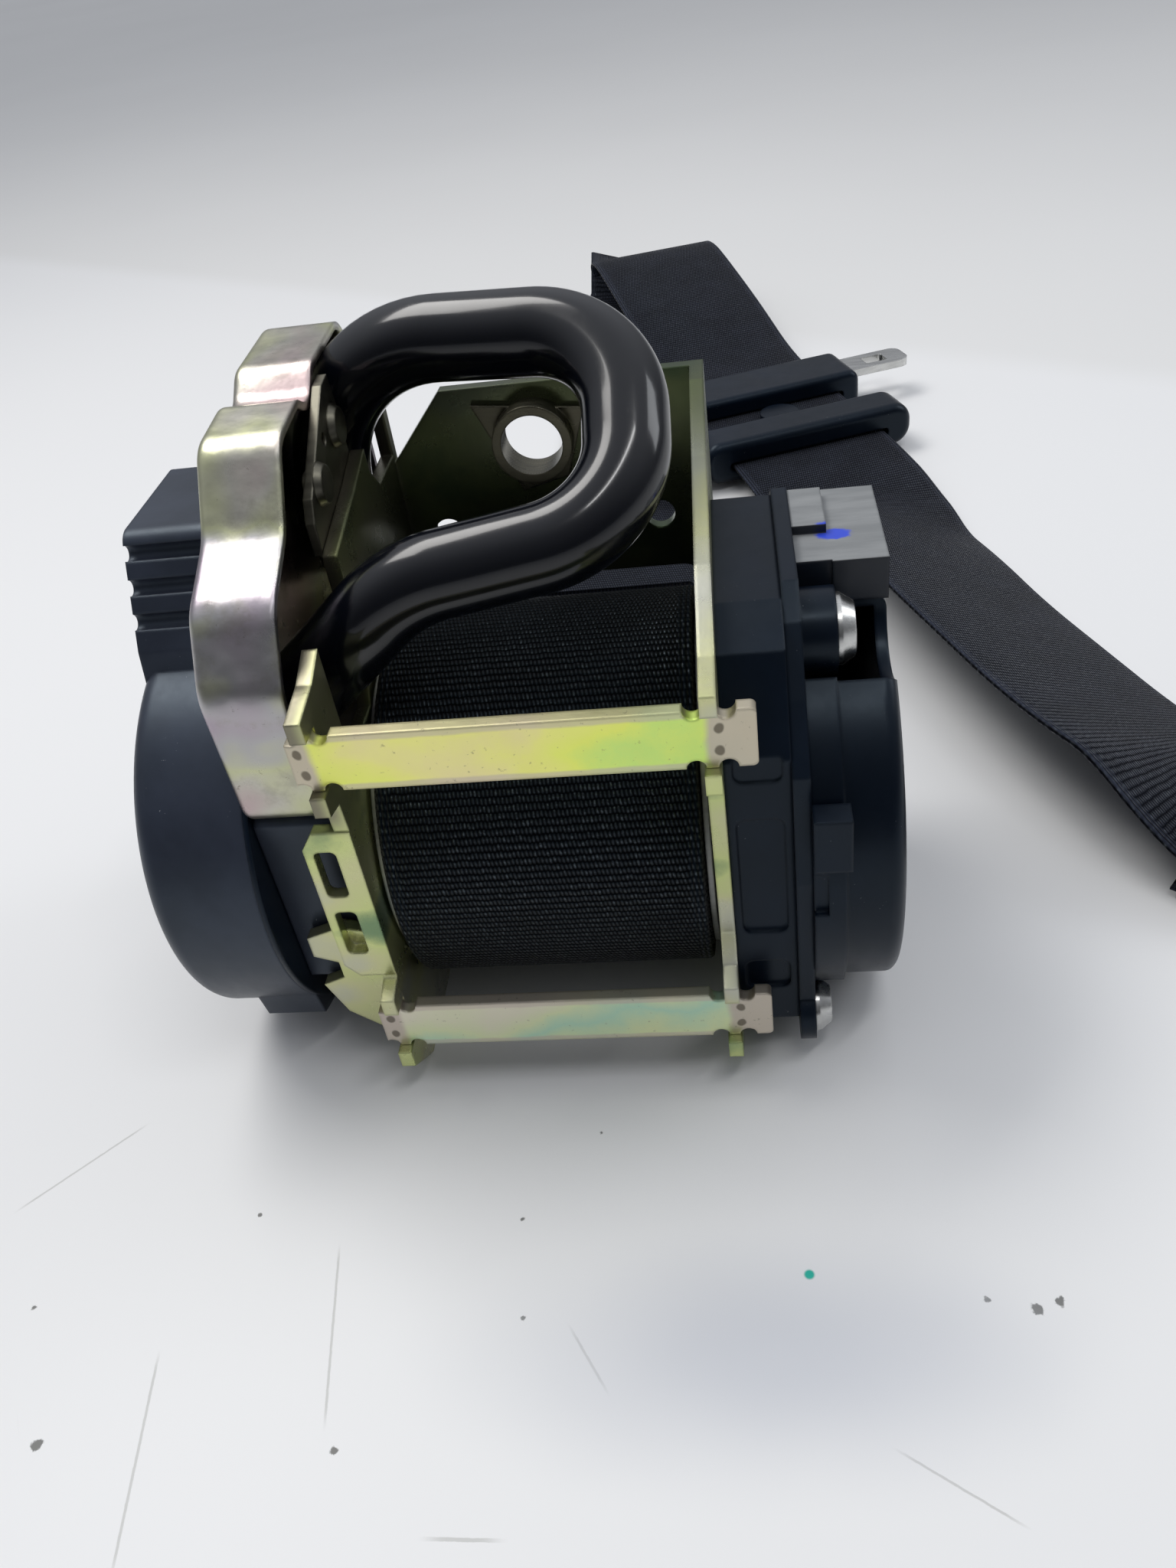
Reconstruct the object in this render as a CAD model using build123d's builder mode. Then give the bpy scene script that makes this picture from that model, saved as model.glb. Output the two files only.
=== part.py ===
from build123d import *
import os
from math import cos, radians, sin

# Front seat belt retractor with tube pretensioner, and its webbing and fittings.
# Millimetres. X runs along the spool axis, Y away from the open front, Z up.
# It is drawn from the middle of the open front, and each finished piece is moved
# so that the origin lies under the middle of the retractor, on the standing plane.

# Webbing
belt_width = 47.0
belt_thick = 1.2
roll_radius = 31.0
soft_gap = 0.3

# Frame of pressed steel
plate_thick = 2.2
side_room = 1.8
frame_top = 91.0
frame_back = 70.2
window_low = 12.0
window_high = 56.0
window_half = 24.6
corner_cut = 12.0

# Spool axis
spool_y = 35.0
spool_z = 35.0

# Tie bars across the open front
bar_height = 9.0
bar_thick = 2.2
bar_end_left = 1.7
bar_end_right = 4.8
upper_bar_z = 68.0
lower_bar_z = 15.0
claw_reach = 1.7
claw_height = 3.2
bar_fit = 0.1

# Threaded mounting nut
nut_x = -1.0
nut_z = 82.0
nut_radius = 6.6
thread_bore = 10.1
nut_height = 4.0

# Bent tube of the pretensioner
tube_od = 12.4
tube_wall = 1.2
tube_right = 17.0
tube_leg_y = 60.5

# Pretensioner housing, a pressed steel shell left of the frame
shell_gap = 1.8
shell_depth = 12.2
shell_back = 71.0
shell_wall = 1.2

# Left cover of the return spring
left_depth = 17.6
left_seat_gap = 0.9
left_radius = 34.0
cover_wall = 1.8

# Right side lock mechanism
base_depth = 10.9
right_depth = 24.5
right_radius = 33.6
screw_y = 24.0
screw_z = 68.0
lower_boss_y = 7.0
lower_boss_z = 9.0

# Spool and lock parts
spool_core = 15.0
shaft_radius = 5.0
run_clear = 0.08
pinion_radius = 15.0
pinion_teeth = 11

# Derived places
inner_face = belt_width / 2 + side_room
outer_face = inner_face + plate_thick
back_front = frame_back - plate_thick
plate_front = bar_thick + bar_fit
tube_radius = tube_od / 2
bore_radius = tube_radius - tube_wall
axis_yz = (spool_y, spool_z)
claw_front = plate_front - bar_thick - claw_reach
bar_left = -outer_face - bar_end_left
bar_right = outer_face + bar_end_right
tube_left = -outer_face - tube_radius - 0.1
shell_inner_x = -outer_face - shell_gap
shell_outer_x = shell_inner_x - shell_depth
left_seat_x = shell_outer_x - left_seat_gap
left_face_x = left_seat_x - left_depth
base_outer_x = outer_face + base_depth
right_face_x = outer_face + right_depth
pinion_x0 = shell_outer_x + 7.9
origin_x = (left_face_x + right_face_x) / 2
origin_y = (claw_front + shell_back) / 2

os.makedirs("parts", exist_ok=True)


def save(piece, name):
    """Label a finished piece, move it to the frame's origin and write it."""
    piece.part.label = name
    piece.part.move(Location((-origin_x, -origin_y, 0)))
    export_step(piece.part, "parts/" + name + ".step")


def across(x):
    """Plane facing +X at x, with local x along Y and local y along Z."""
    return Plane(origin=(x, 0, 0), x_dir=(0, 1, 0), z_dir=(1, 0, 0))


def upright(y):
    """Plane facing +Y at y, with local x along -X and local y along Z."""
    return Plane(origin=(0, y, 0), x_dir=(-1, 0, 0), z_dir=(0, 1, 0))


def side_outline():
    """Outline of one side plate in the Y-Z plane, with its bar seats."""
    half = bar_height / 2 + bar_fit
    Polyline(
        (back_front + plate_thick, 0),
        (back_front + plate_thick, frame_top),
        (back_front - 6, frame_top),
        (44, 86.5),
        (20, 82),
        (6, upper_bar_z + half + claw_height + 1),
        (claw_front, upper_bar_z + half + claw_height),
        (claw_front, upper_bar_z + half),
        (plate_front, upper_bar_z + half),
        (plate_front, upper_bar_z - half),
        (claw_front, upper_bar_z - half),
        (claw_front, upper_bar_z - half - claw_height),
        (plate_front, upper_bar_z - half - claw_height - 1),
        (plate_front + 2, lower_bar_z + half + claw_height + 6),
        (plate_front, lower_bar_z + half + claw_height + 1),
        (claw_front, lower_bar_z + half + claw_height),
        (claw_front, lower_bar_z + half),
        (plate_front, lower_bar_z + half),
        (plate_front, lower_bar_z - half),
        (claw_front, lower_bar_z - half),
        (claw_front, lower_bar_z - half - claw_height),
        (plate_front + 1, 3),
        (plate_front + 5, 0),
        close=True,
    )


# Frame: back plate and two side plates from one pressing
left_hole = 17.5
ring_seat = 27.0
wing_x = -outer_face - 11.0
with BuildPart() as frame:
    with BuildSketch(upright(back_front)):
        with BuildLine():
            Polyline(
                (-outer_face, 0), (-outer_face, frame_top),
                (outer_face - corner_cut, frame_top), (outer_face, frame_top - 14),
                (outer_face, 0), close=True,
            )
        make_face()
        with Locations((0, (window_low + window_high) / 2)):
            RectangleRounded(2 * window_half, window_high - window_low, 3, mode=Mode.SUBTRACT)
        with Locations((-nut_x, nut_z)):
            Circle(nut_radius - 1, mode=Mode.SUBTRACT)
        with Locations((outer_face - 9, 66), (9 - outer_face, 66)):
            Circle(2.5, mode=Mode.SUBTRACT)
    extrude(amount=plate_thick)
    for start in (inner_face, -outer_face):
        with BuildSketch(across(start)):
            with BuildLine():
                side_outline()
            make_face()
        extrude(amount=plate_thick)
    with BuildSketch(across(inner_face - 1)):
        with Locations(axis_yz):
            Circle(ring_seat)
    extrude(amount=plate_thick + 2, mode=Mode.SUBTRACT)
    with BuildSketch(across(-outer_face - 1)):
        with Locations(axis_yz):
            Circle(left_hole)
    extrude(amount=plate_thick + 2, mode=Mode.SUBTRACT)
    # Notch in the left plate for the tube's lower end
    with BuildSketch(across(-outer_face - 1)):
        with BuildLine():
            Polyline((11.5, 95), (11.5, 66), (15, 60), (25, 60), (28.5, 66), (28.5, 95), close=True)
        make_face()
        with BuildLine():
            Polyline(
                (tube_leg_y - 7.4, 96), (tube_leg_y - 7.4, 85), (tube_leg_y - 3.6, 81),
                (back_front, 81), (back_front, 96), close=True,
            )
        make_face()
    extrude(amount=plate_thick + 2, mode=Mode.SUBTRACT)
    # Front bracket bent outwards, with the two slots for the housing tabs
    with BuildSketch(upright(plate_front + bar_fit)):
        with BuildLine():
            Polyline(
                (inner_face, 54), (outer_face + 3.5, 54), (outer_face + 5.5, 51),
                (outer_face + 5.5, 27), (outer_face + 3.5, 24.6),
                (inner_face, 24.6), close=True,
            )
        make_face()
        with Locations((outer_face + 2.5, 46.0), (outer_face + 2.5, 34.0)):
            RectangleRounded(3.4, 9.0, 1, mode=Mode.SUBTRACT)
    extrude(amount=plate_thick)
    # Lower left wing with its open notch
    with BuildSketch(upright(plate_front + plate_thick + bar_fit)):
        with BuildLine():
            Polyline(
                (inner_face, 31), (outer_face + 5.5, 33), (-wing_x, 31), (-wing_x, 27),
                (outer_face + 7.3, 25.5), (outer_face + 7.3, 22), (-wing_x, 20.5),
                (outer_face + 8.5, 14), (outer_face + 2.5, 9), (inner_face, 8), close=True,
            )
        make_face()
    extrude(amount=plate_thick)
save(frame, "frame")

# Tie bars, notched beside the claws that hold them
notch = 1.3
for name, height in (("tie_bar_upper", upper_bar_z), ("tie_bar_lower", lower_bar_z)):
    with BuildPart() as tie_bar:
        with BuildSketch(upright(bar_fit)):
            with Locations((-(bar_left + bar_right) / 2, height)):
                RectangleRounded(bar_right - bar_left, bar_height, 0.8)
            for side in (inner_face + plate_thick / 2, -inner_face - plate_thick / 2):
                for edge in (height + bar_height / 2, height - bar_height / 2):
                    with Locations((-side - 2.1, edge), (-side + 2.1, edge)):
                        Circle(notch, mode=Mode.SUBTRACT)
        extrude(amount=bar_thick - bar_fit)
    save(tie_bar, name)

# Threaded mounting nut, swaged into the back plate
with BuildPart() as mounting_nut:
    with BuildSketch(upright(back_front - nut_height)):
        with Locations((-nut_x, nut_z)):
            Circle(nut_radius)
    extrude(amount=nut_height)
    with BuildSketch(upright(back_front - 1.2)):
        with BuildLine():
            Polyline(
                (-nut_x - 9, nut_z + 4.5), (-nut_x + 9.5, nut_z + 6.5), (-nut_x + 3, nut_z - 9),
                (-nut_x - 5, nut_z - 7), close=True,
            )
        make_face()
    extrude(amount=1.2)
    with BuildSketch(upright(back_front)):
        with Locations((-nut_x, nut_z)):
            Circle(nut_radius - 1)
    extrude(amount=plate_thick)
    with BuildSketch(upright(back_front - nut_height - 1)):
        with Locations((-nut_x, nut_z)):
            Circle(thread_bore / 2)
    extrude(amount=nut_height + plate_thick + 2, mode=Mode.SUBTRACT)
save(mounting_nut, "mounting_nut")

# Bent tube: from the gas generator to the right, round and back to the pinion
tube_start = (tube_left, tube_leg_y, 70.0)
tube_end = (pinion_x0, 19.4, 66.0)
with BuildLine() as tube_path:
    FilletPolyline(
        tube_start,
        (tube_left, tube_leg_y, 103.0),
        (tube_right, 50.0, 104.0),
        (tube_right, 25.0, 86.0),
        (pinion_x0 + 18.6, 21.5, 82.0),
        tube_end,
        radius=(24, 16, 15, 20),
    )
tube_line = tube_path.wires()[0]
with BuildPart() as pretensioner_tube:
    with BuildSketch(Plane(origin=tube_line @ 0, z_dir=tube_line % 0)):
        Circle(tube_radius)
        Circle(bore_radius, mode=Mode.SUBTRACT)
    sweep(path=tube_line)
save(pretensioner_tube, "pretensioner_tube")

# Drive balls waiting in the tube behind the gas piston
ball_radius = bore_radius - 0.35
ball_count = 9
ball_step = (2 * ball_radius + 0.3) / tube_line.length
with BuildPart() as drive_balls:
    for index in range(ball_count):
        with Locations(tube_line @ (0.30 + index * ball_step)):
            Sphere(ball_radius)
save(drive_balls, "drive_balls")

# Piston seal behind the last ball
with BuildPart() as piston_seal:
    seal_at = 0.30 - 1.15 * ball_step
    with BuildSketch(Plane(origin=tube_line @ seal_at, z_dir=tube_line % seal_at)):
        Circle(bore_radius - 0.3)
    extrude(amount=3)
save(piston_seal, "piston_seal")

# Gas generator cartridge in the left end of the tube
generator_radius = bore_radius - 0.05
with BuildPart() as gas_generator:
    mouth = Plane(origin=tube_line @ 0, z_dir=tube_line % 0)
    with BuildSketch(mouth):
        Circle(generator_radius)
    extrude(amount=8.6)
    with BuildSketch(mouth):
        Circle(tube_radius - 0.2)
    extrude(amount=-3)
    with BuildSketch(mouth.offset(-3)):
        Circle(3.2)
    extrude(amount=-3)
save(gas_generator, "gas_generator")


def shell_outline():
    """Two-humped outline of the pretensioner housing in the Y-Z plane."""
    FilletPolyline(
        (20, 53.8), (5, 53.8), (4.6, 76), (11, 86), (22, 91), (30, 101), (41, 102), (45.5, 99.4),
        (51, 103.6), (shell_back, 104.4), (shell_back, 60), (56, 53.8), (40, 53.8),
        radius=(3, 8, 8, 8, 6, 3, 4, 5, 5, 6, 6), close=False,
    )
    Line((40, 53.8), (20, 53.8))


# Pretensioner housing: deep drawn two-humped shell, open towards the frame
with BuildPart() as pretensioner_housing:
    with BuildSketch(across(shell_outer_x)):
        with BuildLine():
            shell_outline()
        make_face()
    extrude(amount=shell_inner_x - shell_outer_x)
    fillet(pretensioner_housing.faces().sort_by(Axis.X)[0].edges(), 1.6)
    with BuildSketch(across(shell_outer_x + shell_wall)):
        with BuildLine():
            shell_outline()
        make_face()
        offset(amount=-shell_wall)
    extrude(amount=shell_inner_x - shell_outer_x, mode=Mode.SUBTRACT)
save(pretensioner_housing, "pretensioner_housing")

# Guide plate inside the housing rim, riveted, carrying the tube's upper end
guide_x = -outer_face - 1.5
rivet_spots = ((48.9, 94.5), (36.4, 91.0))
with BuildPart() as guide_plate:
    with BuildSketch(across(guide_x)):
        with BuildLine():
            Polyline(
                (52.6, 96), (51.6, 101.4), (48, 101), (31.5, 91), (29.8, 88), (29.8, 83), (52.6, 83),
                close=True,
            )
        make_face()
        with Locations(*rivet_spots):
            Circle(2.0, mode=Mode.SUBTRACT)
        with Locations((43.0, 95.0)):
            Circle(1.0, mode=Mode.SUBTRACT)
    extrude(amount=1.4)
save(guide_plate, "guide_plate")

with BuildPart() as guide_rivets:
    for place in rivet_spots:
        with BuildSketch(across(guide_x - 0.6)):
            with Locations(place):
                Circle(1.95)
        extrude(amount=2.1)
        with BuildSketch(across(guide_x + 1.4)):
            with Locations(place):
                Circle(3.3)
        extrude(amount=1.1, taper=28)
save(guide_rivets, "guide_rivets")

# Cast body of the pretensioner: the pinion room on the left side plate
carrier_x0 = shell_outer_x
carrier_x1 = -outer_face
room_radius = 18.6
with BuildPart() as pinion_carrier:
    with BuildSketch(across(carrier_x0)):
        with BuildLine():
            Polyline(
                (7.3, 20), (7.3, 52), (10, 53.4), (58, 53.4), (66, 46), (66, 24), (54, 10),
                (17, 10), close=True,
            )
        make_face()
        with Locations(axis_yz):
            Circle(shaft_radius + 1, mode=Mode.SUBTRACT)
    extrude(amount=carrier_x1 - carrier_x0)
    fillet(pinion_carrier.edges().filter_by(Axis.X), 1.0)
    with BuildSketch(across(carrier_x0 + 2)):
        with Locations(axis_yz):
            Circle(room_radius)
        with Locations((19.4, 46)):
            Rectangle(13.2, 20)
    extrude(amount=carrier_x1 - carrier_x0, mode=Mode.SUBTRACT)
save(pinion_carrier, "pinion_carrier")

# Pinion driven by the balls: pockets round its rim
pinion_width = 5.6
with BuildPart() as drive_pinion:
    with BuildSketch(across(pinion_x0)):
        with Locations(axis_yz):
            Circle(pinion_radius)
            with PolarLocations(pinion_radius + 1.6, pinion_teeth):
                Circle(4.2, mode=Mode.SUBTRACT)
        with Locations(axis_yz):
            Circle(shaft_radius + 0.02, mode=Mode.SUBTRACT)
    extrude(amount=pinion_width)
save(drive_pinion, "drive_pinion")


def cup(outer_x, seat_x, radius, wall, edge):
    """Round cover, closed at outer_x and open at seat_x."""
    step = 1 if seat_x > outer_x else -1
    with BuildPart() as made:
        with BuildSketch(across(outer_x)):
            with Locations(axis_yz):
                Circle(radius)
        extrude(amount=seat_x - outer_x)
        rims = made.faces().sort_by(Axis.X)
        closed = rims[0] if step > 0 else rims[-1]
        fillet(closed.edges(), edge)
        rims = made.faces().filter_by(Axis.X).sort_by(Axis.X)
        offset(amount=-wall, openings=rims[-1] if step > 0 else rims[0])
    return made


# Left cover over the return spring, with its ribbed block and its foot
spring_cup = cup(left_face_x, left_seat_x, left_radius, cover_wall, 3.0)
with BuildPart() as left_cover:
    add(spring_cup.part)
    with BuildSketch(across(left_face_x + 0.5)):
        with BuildLine():
            FilletPolyline(
                (38, 46), (24, 60), (27, 71), (35.5, 86.5), (60, 86.5), (63, 60), (60, 42),
                radius=(2, 3, 3, 3, 3), close=False,
            )
            Line((60, 42), (38, 46))
        make_face()
        with Locations(*[(29.2 + 2.6 * index, 75 + 4.4 * index) for index in range(3)]):
            Circle(1.2, mode=Mode.SUBTRACT)
    extrude(amount=left_seat_x - left_face_x - 0.8)
    with BuildSketch(across(left_seat_x - 10.1)):
        with BuildLine():
            Polyline((6, 24), (9, 9), (18, 6), (26, 4.5), (30, 2.2), (30, 12), (14, 26), close=True)
        make_face()
    extrude(amount=10.1)
    with BuildSketch(across(left_face_x + cover_wall)):
        with Locations(axis_yz):
            Circle(left_radius - cover_wall)
    extrude(amount=30, mode=Mode.SUBTRACT)
save(left_cover, "left_cover")

# Seat plate that closes the spring room
with BuildPart() as spring_plate:
    with BuildSketch(across(left_seat_x)):
        with Locations(axis_yz):
            Circle(left_radius)
            Circle(shaft_radius + 1.6, mode=Mode.SUBTRACT)
    extrude(amount=0.8)
save(spring_plate, "spring_plate")

# Spiral return spring, as its wound turns
spring_turns = 7
spring_strip = 0.6
arbor_radius = 7.0
spring_out = left_radius - cover_wall - 1.2
with BuildPart() as return_spring:
    with BuildSketch(across(left_seat_x - 11.6)):
        for index in range(spring_turns):
            turn = spring_out - index * (spring_out - arbor_radius - 2) / (spring_turns - 1)
            with Locations(axis_yz):
                Circle(turn)
                Circle(turn - spring_strip, mode=Mode.SUBTRACT)
        with Locations((spool_y + (arbor_radius + spring_out) / 2, spool_z)):
            Rectangle(spring_out - arbor_radius - 1.2, 1.2)
    extrude(amount=10)
save(return_spring, "return_spring")

with BuildPart() as spring_arbor:
    with BuildSketch(across(left_seat_x - 12.6)):
        with Locations(axis_yz):
            Circle(arbor_radius)
            Circle(shaft_radius + 0.02, mode=Mode.SUBTRACT)
    extrude(amount=12)
save(spring_arbor, "spring_arbor")

# Bearing bush in the closed end of the left cover
with BuildPart() as left_bush:
    with BuildSketch(across(left_face_x + cover_wall)):
        with Locations(axis_yz):
            Circle(shaft_radius + 2)
            Circle(shaft_radius + run_clear, mode=Mode.SUBTRACT)
    extrude(amount=2.8)
save(left_bush, "left_bush")

# Spool with its two flanges
flange_thick = 0.9
flange_radius = 27.5
core_end = inner_face - 0.4
with BuildPart() as spool:
    with BuildSketch(across(-core_end)):
        with Locations(axis_yz):
            Circle(spool_core)
    extrude(amount=2 * core_end)
    for start in (-core_end, core_end - flange_thick):
        with BuildSketch(across(start)):
            with Locations(axis_yz):
                Circle(flange_radius)
        extrude(amount=flange_thick)
    with BuildSketch(across(-core_end)):
        with Locations(axis_yz):
            Circle(shaft_radius + 0.02)
    extrude(amount=2 * core_end, mode=Mode.SUBTRACT)
save(spool, "spool")

# Torsion bar: the shaft from the spring bush to the stub in the right base
stub_radius = 2.9
lock_head_end = outer_face + 3.1
with BuildPart() as torsion_bar:
    with BuildSketch(across(left_face_x + cover_wall + 0.2)):
        with Locations(axis_yz):
            Circle(shaft_radius)
    extrude(amount=lock_head_end - left_face_x - cover_wall - 0.2)
    with BuildSketch(across(lock_head_end)):
        with Locations(axis_yz):
            Circle(stub_radius)
    extrude(amount=base_outer_x - lock_head_end + 0.4)
save(torsion_bar, "torsion_bar")

# Webbing wound on the spool
with BuildPart() as webbing_roll:
    with BuildSketch(across(-belt_width / 2)):
        with Locations(axis_yz):
            Circle(roll_radius)
            Circle(spool_core + 0.05, mode=Mode.SUBTRACT)
    extrude(amount=belt_width)
save(webbing_roll, "webbing_roll")

# Toothed lock ring riveted in the right side plate
ring_inner = 23.0
ring_teeth = 24
with BuildPart() as lock_ring:
    with BuildSketch(across(inner_face)):
        with Locations(axis_yz):
            Circle(ring_seat - 0.05)
            Circle(ring_inner, mode=Mode.SUBTRACT)
            with PolarLocations(ring_inner, ring_teeth):
                Rectangle(2.6, 2.2, rotation=28, mode=Mode.SUBTRACT)
    extrude(amount=plate_thick + 2.4)
    with BuildSketch(across(outer_face + 0.05)):
        with Locations(axis_yz):
            Circle(ring_seat + 1.6)
            Circle(ring_seat - 1.5, mode=Mode.SUBTRACT)
    extrude(amount=1.2)
save(lock_ring, "lock_ring")

# Lock head on the torsion bar, with the pocket of its pawl
head_radius = 20.0
pawl_y = spool_y + 9.0
pawl_z = spool_z + 9.0
pawl_eye = 3.2
with BuildPart() as lock_head:
    with BuildSketch(across(inner_face + 0.2)):
        with Locations(axis_yz):
            Circle(head_radius)
            Circle(shaft_radius + 0.02, mode=Mode.SUBTRACT)
        with Locations((pawl_y, pawl_z)):
            Circle(pawl_eye + 0.3, mode=Mode.SUBTRACT)
        with BuildLine():
            Polyline(
                (pawl_y - 3.4, pawl_z), (pawl_y - 3.6, pawl_z - 22), (pawl_y + 18, pawl_z - 22),
                (pawl_y + 18, pawl_z + 2), (pawl_y + 3, pawl_z + 2), close=True,
            )
        make_face(mode=Mode.SUBTRACT)
    extrude(amount=lock_head_end - inner_face - 0.4)
    with BuildSketch(across(inner_face + 0.2)):
        with Locations((pawl_y, pawl_z)):
            Circle(1.5)
        with Locations(axis_yz):
            Circle(head_radius - 1)
            Circle(shaft_radius + 0.02, mode=Mode.SUBTRACT)
    extrude(amount=0.8)
    with BuildSketch(across(inner_face + 0.2)):
        with Locations((pawl_y, pawl_z)):
            Circle(1.5)
    extrude(amount=lock_head_end - inner_face - 0.4)
save(lock_head, "lock_head")

# Lock pawl, hinged on the pin of the lock head
with BuildPart() as lock_pawl:
    with BuildSketch(across(inner_face + 1.2)):
        with Locations((pawl_y, pawl_z)):
            Circle(pawl_eye)
        with BuildLine():
            Polyline(
                (pawl_y - 3.0, pawl_z - 0.5), (pawl_y - 2.2, pawl_z - 14), (pawl_y + 4.5, pawl_z - 15.5),
                (pawl_y + 5.5, pawl_z - 11), (pawl_y + 3.0, pawl_z - 1), close=True,
            )
        make_face()
        with Locations((pawl_y, pawl_z)):
            Circle(1.5 + run_clear, mode=Mode.SUBTRACT)
    extrude(amount=lock_head_end - inner_face - 1.5)
save(lock_pawl, "lock_pawl")

# Inertia disc that the sensor lever catches, with saw teeth
disc_radius = 18.0
disc_x = lock_head_end + 0.5
with BuildPart() as inertia_disc:
    with BuildSketch(across(disc_x)):
        with Locations(axis_yz):
            Circle(disc_radius)
            with PolarLocations(disc_radius, 30, start_angle=5.4):
                Rectangle(1.8, 1.6, rotation=30, mode=Mode.SUBTRACT)
        with Locations(axis_yz):
            Circle(stub_radius + run_clear, mode=Mode.SUBTRACT)
    extrude(amount=2.0)
save(inertia_disc, "inertia_disc")

# Return spring of the inertia disc
with BuildPart() as clutch_spring:
    with BuildSketch(across(disc_x + 2.2)):
        with Locations(axis_yz):
            Circle(9.0)
            Circle(8.2, mode=Mode.SUBTRACT)
    extrude(amount=0.8)
save(clutch_spring, "clutch_spring")

# Right base of the lock mechanism: moulded housing on the side plate
base_wall = 1.6
base_x = outer_face + 9.1
with BuildPart() as mechanism_base:
    with BuildSketch(across(outer_face)):
        with BuildLine():
            Polyline(
                (4.5, 9), (5, 60), (12, 73), (20, 76), (50, 76.5), (62, 68), (66.5, 44),
                (63, 14), (44, 2.5), (14, 1.5), close=True,
            )
        make_face()
    extrude(amount=base_x - outer_face)
    offset(amount=-base_wall, openings=mechanism_base.faces().filter_by(Axis.X).sort_by(Axis.X)[0])
    with BuildSketch(across(base_x - base_wall - 0.1)):
        with Locations(axis_yz):
            Circle(stub_radius + run_clear)
        with Locations((screw_y, screw_z)):
            Circle(2.1)
    extrude(amount=base_wall + 1, mode=Mode.SUBTRACT)
    # Recessed panels and the ribs between them on the open front
    for low, high in ((16, 22), (28, 50), (56.5, 61)):
        with BuildSketch(upright(4.0)):
            with Locations((-(outer_face + base_x) / 2, (low + high) / 2)):
                RectangleRounded(base_x - outer_face - 2.4, high - low, 1.4)
        extrude(amount=1.3, mode=Mode.SUBTRACT)
save(mechanism_base, "mechanism_base")

# Flange plate between the base and the right cover, with the screw bosses
boss_radius = 6.2
boss_end = 44.0
with BuildPart() as mechanism_flange:
    with BuildSketch(across(base_x)):
        with BuildLine():
            Polyline(
                (3.5, 14), (2.0, 40), (3.5, 58), (10, 66), (17, 74), (22, 77.5), (50, 77.5), (64, 69),
                (68, 44), (64, 14), (52, 5), (18, 4), close=True,
            )
        make_face()
        with Locations((lower_boss_y, lower_boss_z)):
            Circle(5.4)
    extrude(amount=2.4)
    with BuildSketch(across(base_x + 2.4)):
        with Locations((screw_y, screw_z)):
            Circle(boss_radius)
    extrude(amount=boss_end - base_x - 2.4)
    with BuildSketch(across(base_x - 1)):
        with Locations(axis_yz):
            Circle(stub_radius + 0.5)
        with Locations((screw_y, screw_z), (lower_boss_y, lower_boss_z)):
            Circle(2.1)
    extrude(amount=boss_end - base_x + 2, mode=Mode.SUBTRACT)
save(mechanism_flange, "mechanism_flange")

# Right cover: round dome with the stepped rim
cover_x0 = base_x + 2.4
with BuildPart() as right_cover:
    with BuildSketch(across(cover_x0)):
        with Locations(axis_yz):
            Circle(right_radius)
    extrude(amount=right_face_x - cover_x0)
    with BuildSketch(across(cover_x0)):
        with Locations(axis_yz):
            Circle(right_radius + 1.2)
    extrude(amount=4.6)
    fillet(right_cover.faces().filter_by(Axis.X).sort_by(Axis.X)[-1].edges(), 2.2)
    offset(amount=-cover_wall, openings=right_cover.faces().filter_by(Axis.X).sort_by(Axis.X)[0])
    with BuildSketch(across(cover_x0 - 0.1)):
        with Locations((screw_y, screw_z)):
            Circle(boss_radius + 1.6)
        with Locations((lower_boss_y, lower_boss_z)):
            Circle(6)
    extrude(amount=right_face_x, mode=Mode.SUBTRACT)
    # Latch tab and its window on the front of the rim
    with BuildSketch(across(cover_x0)):
        with Locations((spool_y - right_radius, spool_z + 14)):
            Rectangle(4.0, 9.0)
    extrude(amount=5.2)
    with BuildSketch(across(cover_x0)):
        with Locations((spool_y - right_radius - 1.2, spool_z + 4)):
            Rectangle(2.0, 7.0)
    extrude(amount=2.0, mode=Mode.SUBTRACT)
    with BuildSketch(across(cover_x0 - 0.1)):
        with Locations(axis_yz):
            Circle(right_radius - cover_wall)
    extrude(amount=right_face_x - cover_x0 - cover_wall, mode=Mode.SUBTRACT)
save(right_cover, "right_cover")

# Connector housing on top of the right side, seated on the cover
connector_low = spool_z + right_radius + 1.4
connector_top = connector_low + 5.6
connector_y0 = 30.0
connector_y1 = 52.0
socket_z = (connector_low + connector_top) / 2 + 0.4
with BuildPart() as connector_housing:
    with BuildSketch(across(cover_x0)):
        with BuildLine():
            Polyline(
                (connector_y0, connector_low), (connector_y0, connector_top),
                (connector_y1, connector_top), (connector_y1, connector_low - 6), close=True,
            )
        make_face()
    extrude(amount=right_face_x - cover_x0)
    with BuildSketch(Plane.XY.offset(connector_top)):
        with Locations((cover_x0 + 2.5, connector_y0 + 14)):
            Rectangle(5.0, 12)
    extrude(amount=1.4)
    with BuildSketch(upright(connector_y1 + 1)):
        with Locations((-(cover_x0 + right_face_x) / 2, socket_z)):
            Rectangle(9.0, 3.4)
    extrude(amount=-9, mode=Mode.SUBTRACT)
    with BuildSketch(across(cover_x0 - 1)):
        with Locations(axis_yz):
            Circle(right_radius + 1.3)
    extrude(amount=right_face_x, mode=Mode.SUBTRACT)
    # Web down to the screw boss, open under the connector
    with BuildSketch(across(cover_x0 + 5.2)):
        with BuildLine():
            Polyline(
                (connector_y0 - 0.4, connector_top), (connector_y0 + 2, connector_top),
                (connector_y0 + 2, connector_low), (connector_y0 - 0.4, connector_low - 1), close=True,
            )
        make_face()
    extrude(amount=right_face_x - cover_x0 - 5.2)
save(connector_housing, "connector_housing")

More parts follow.
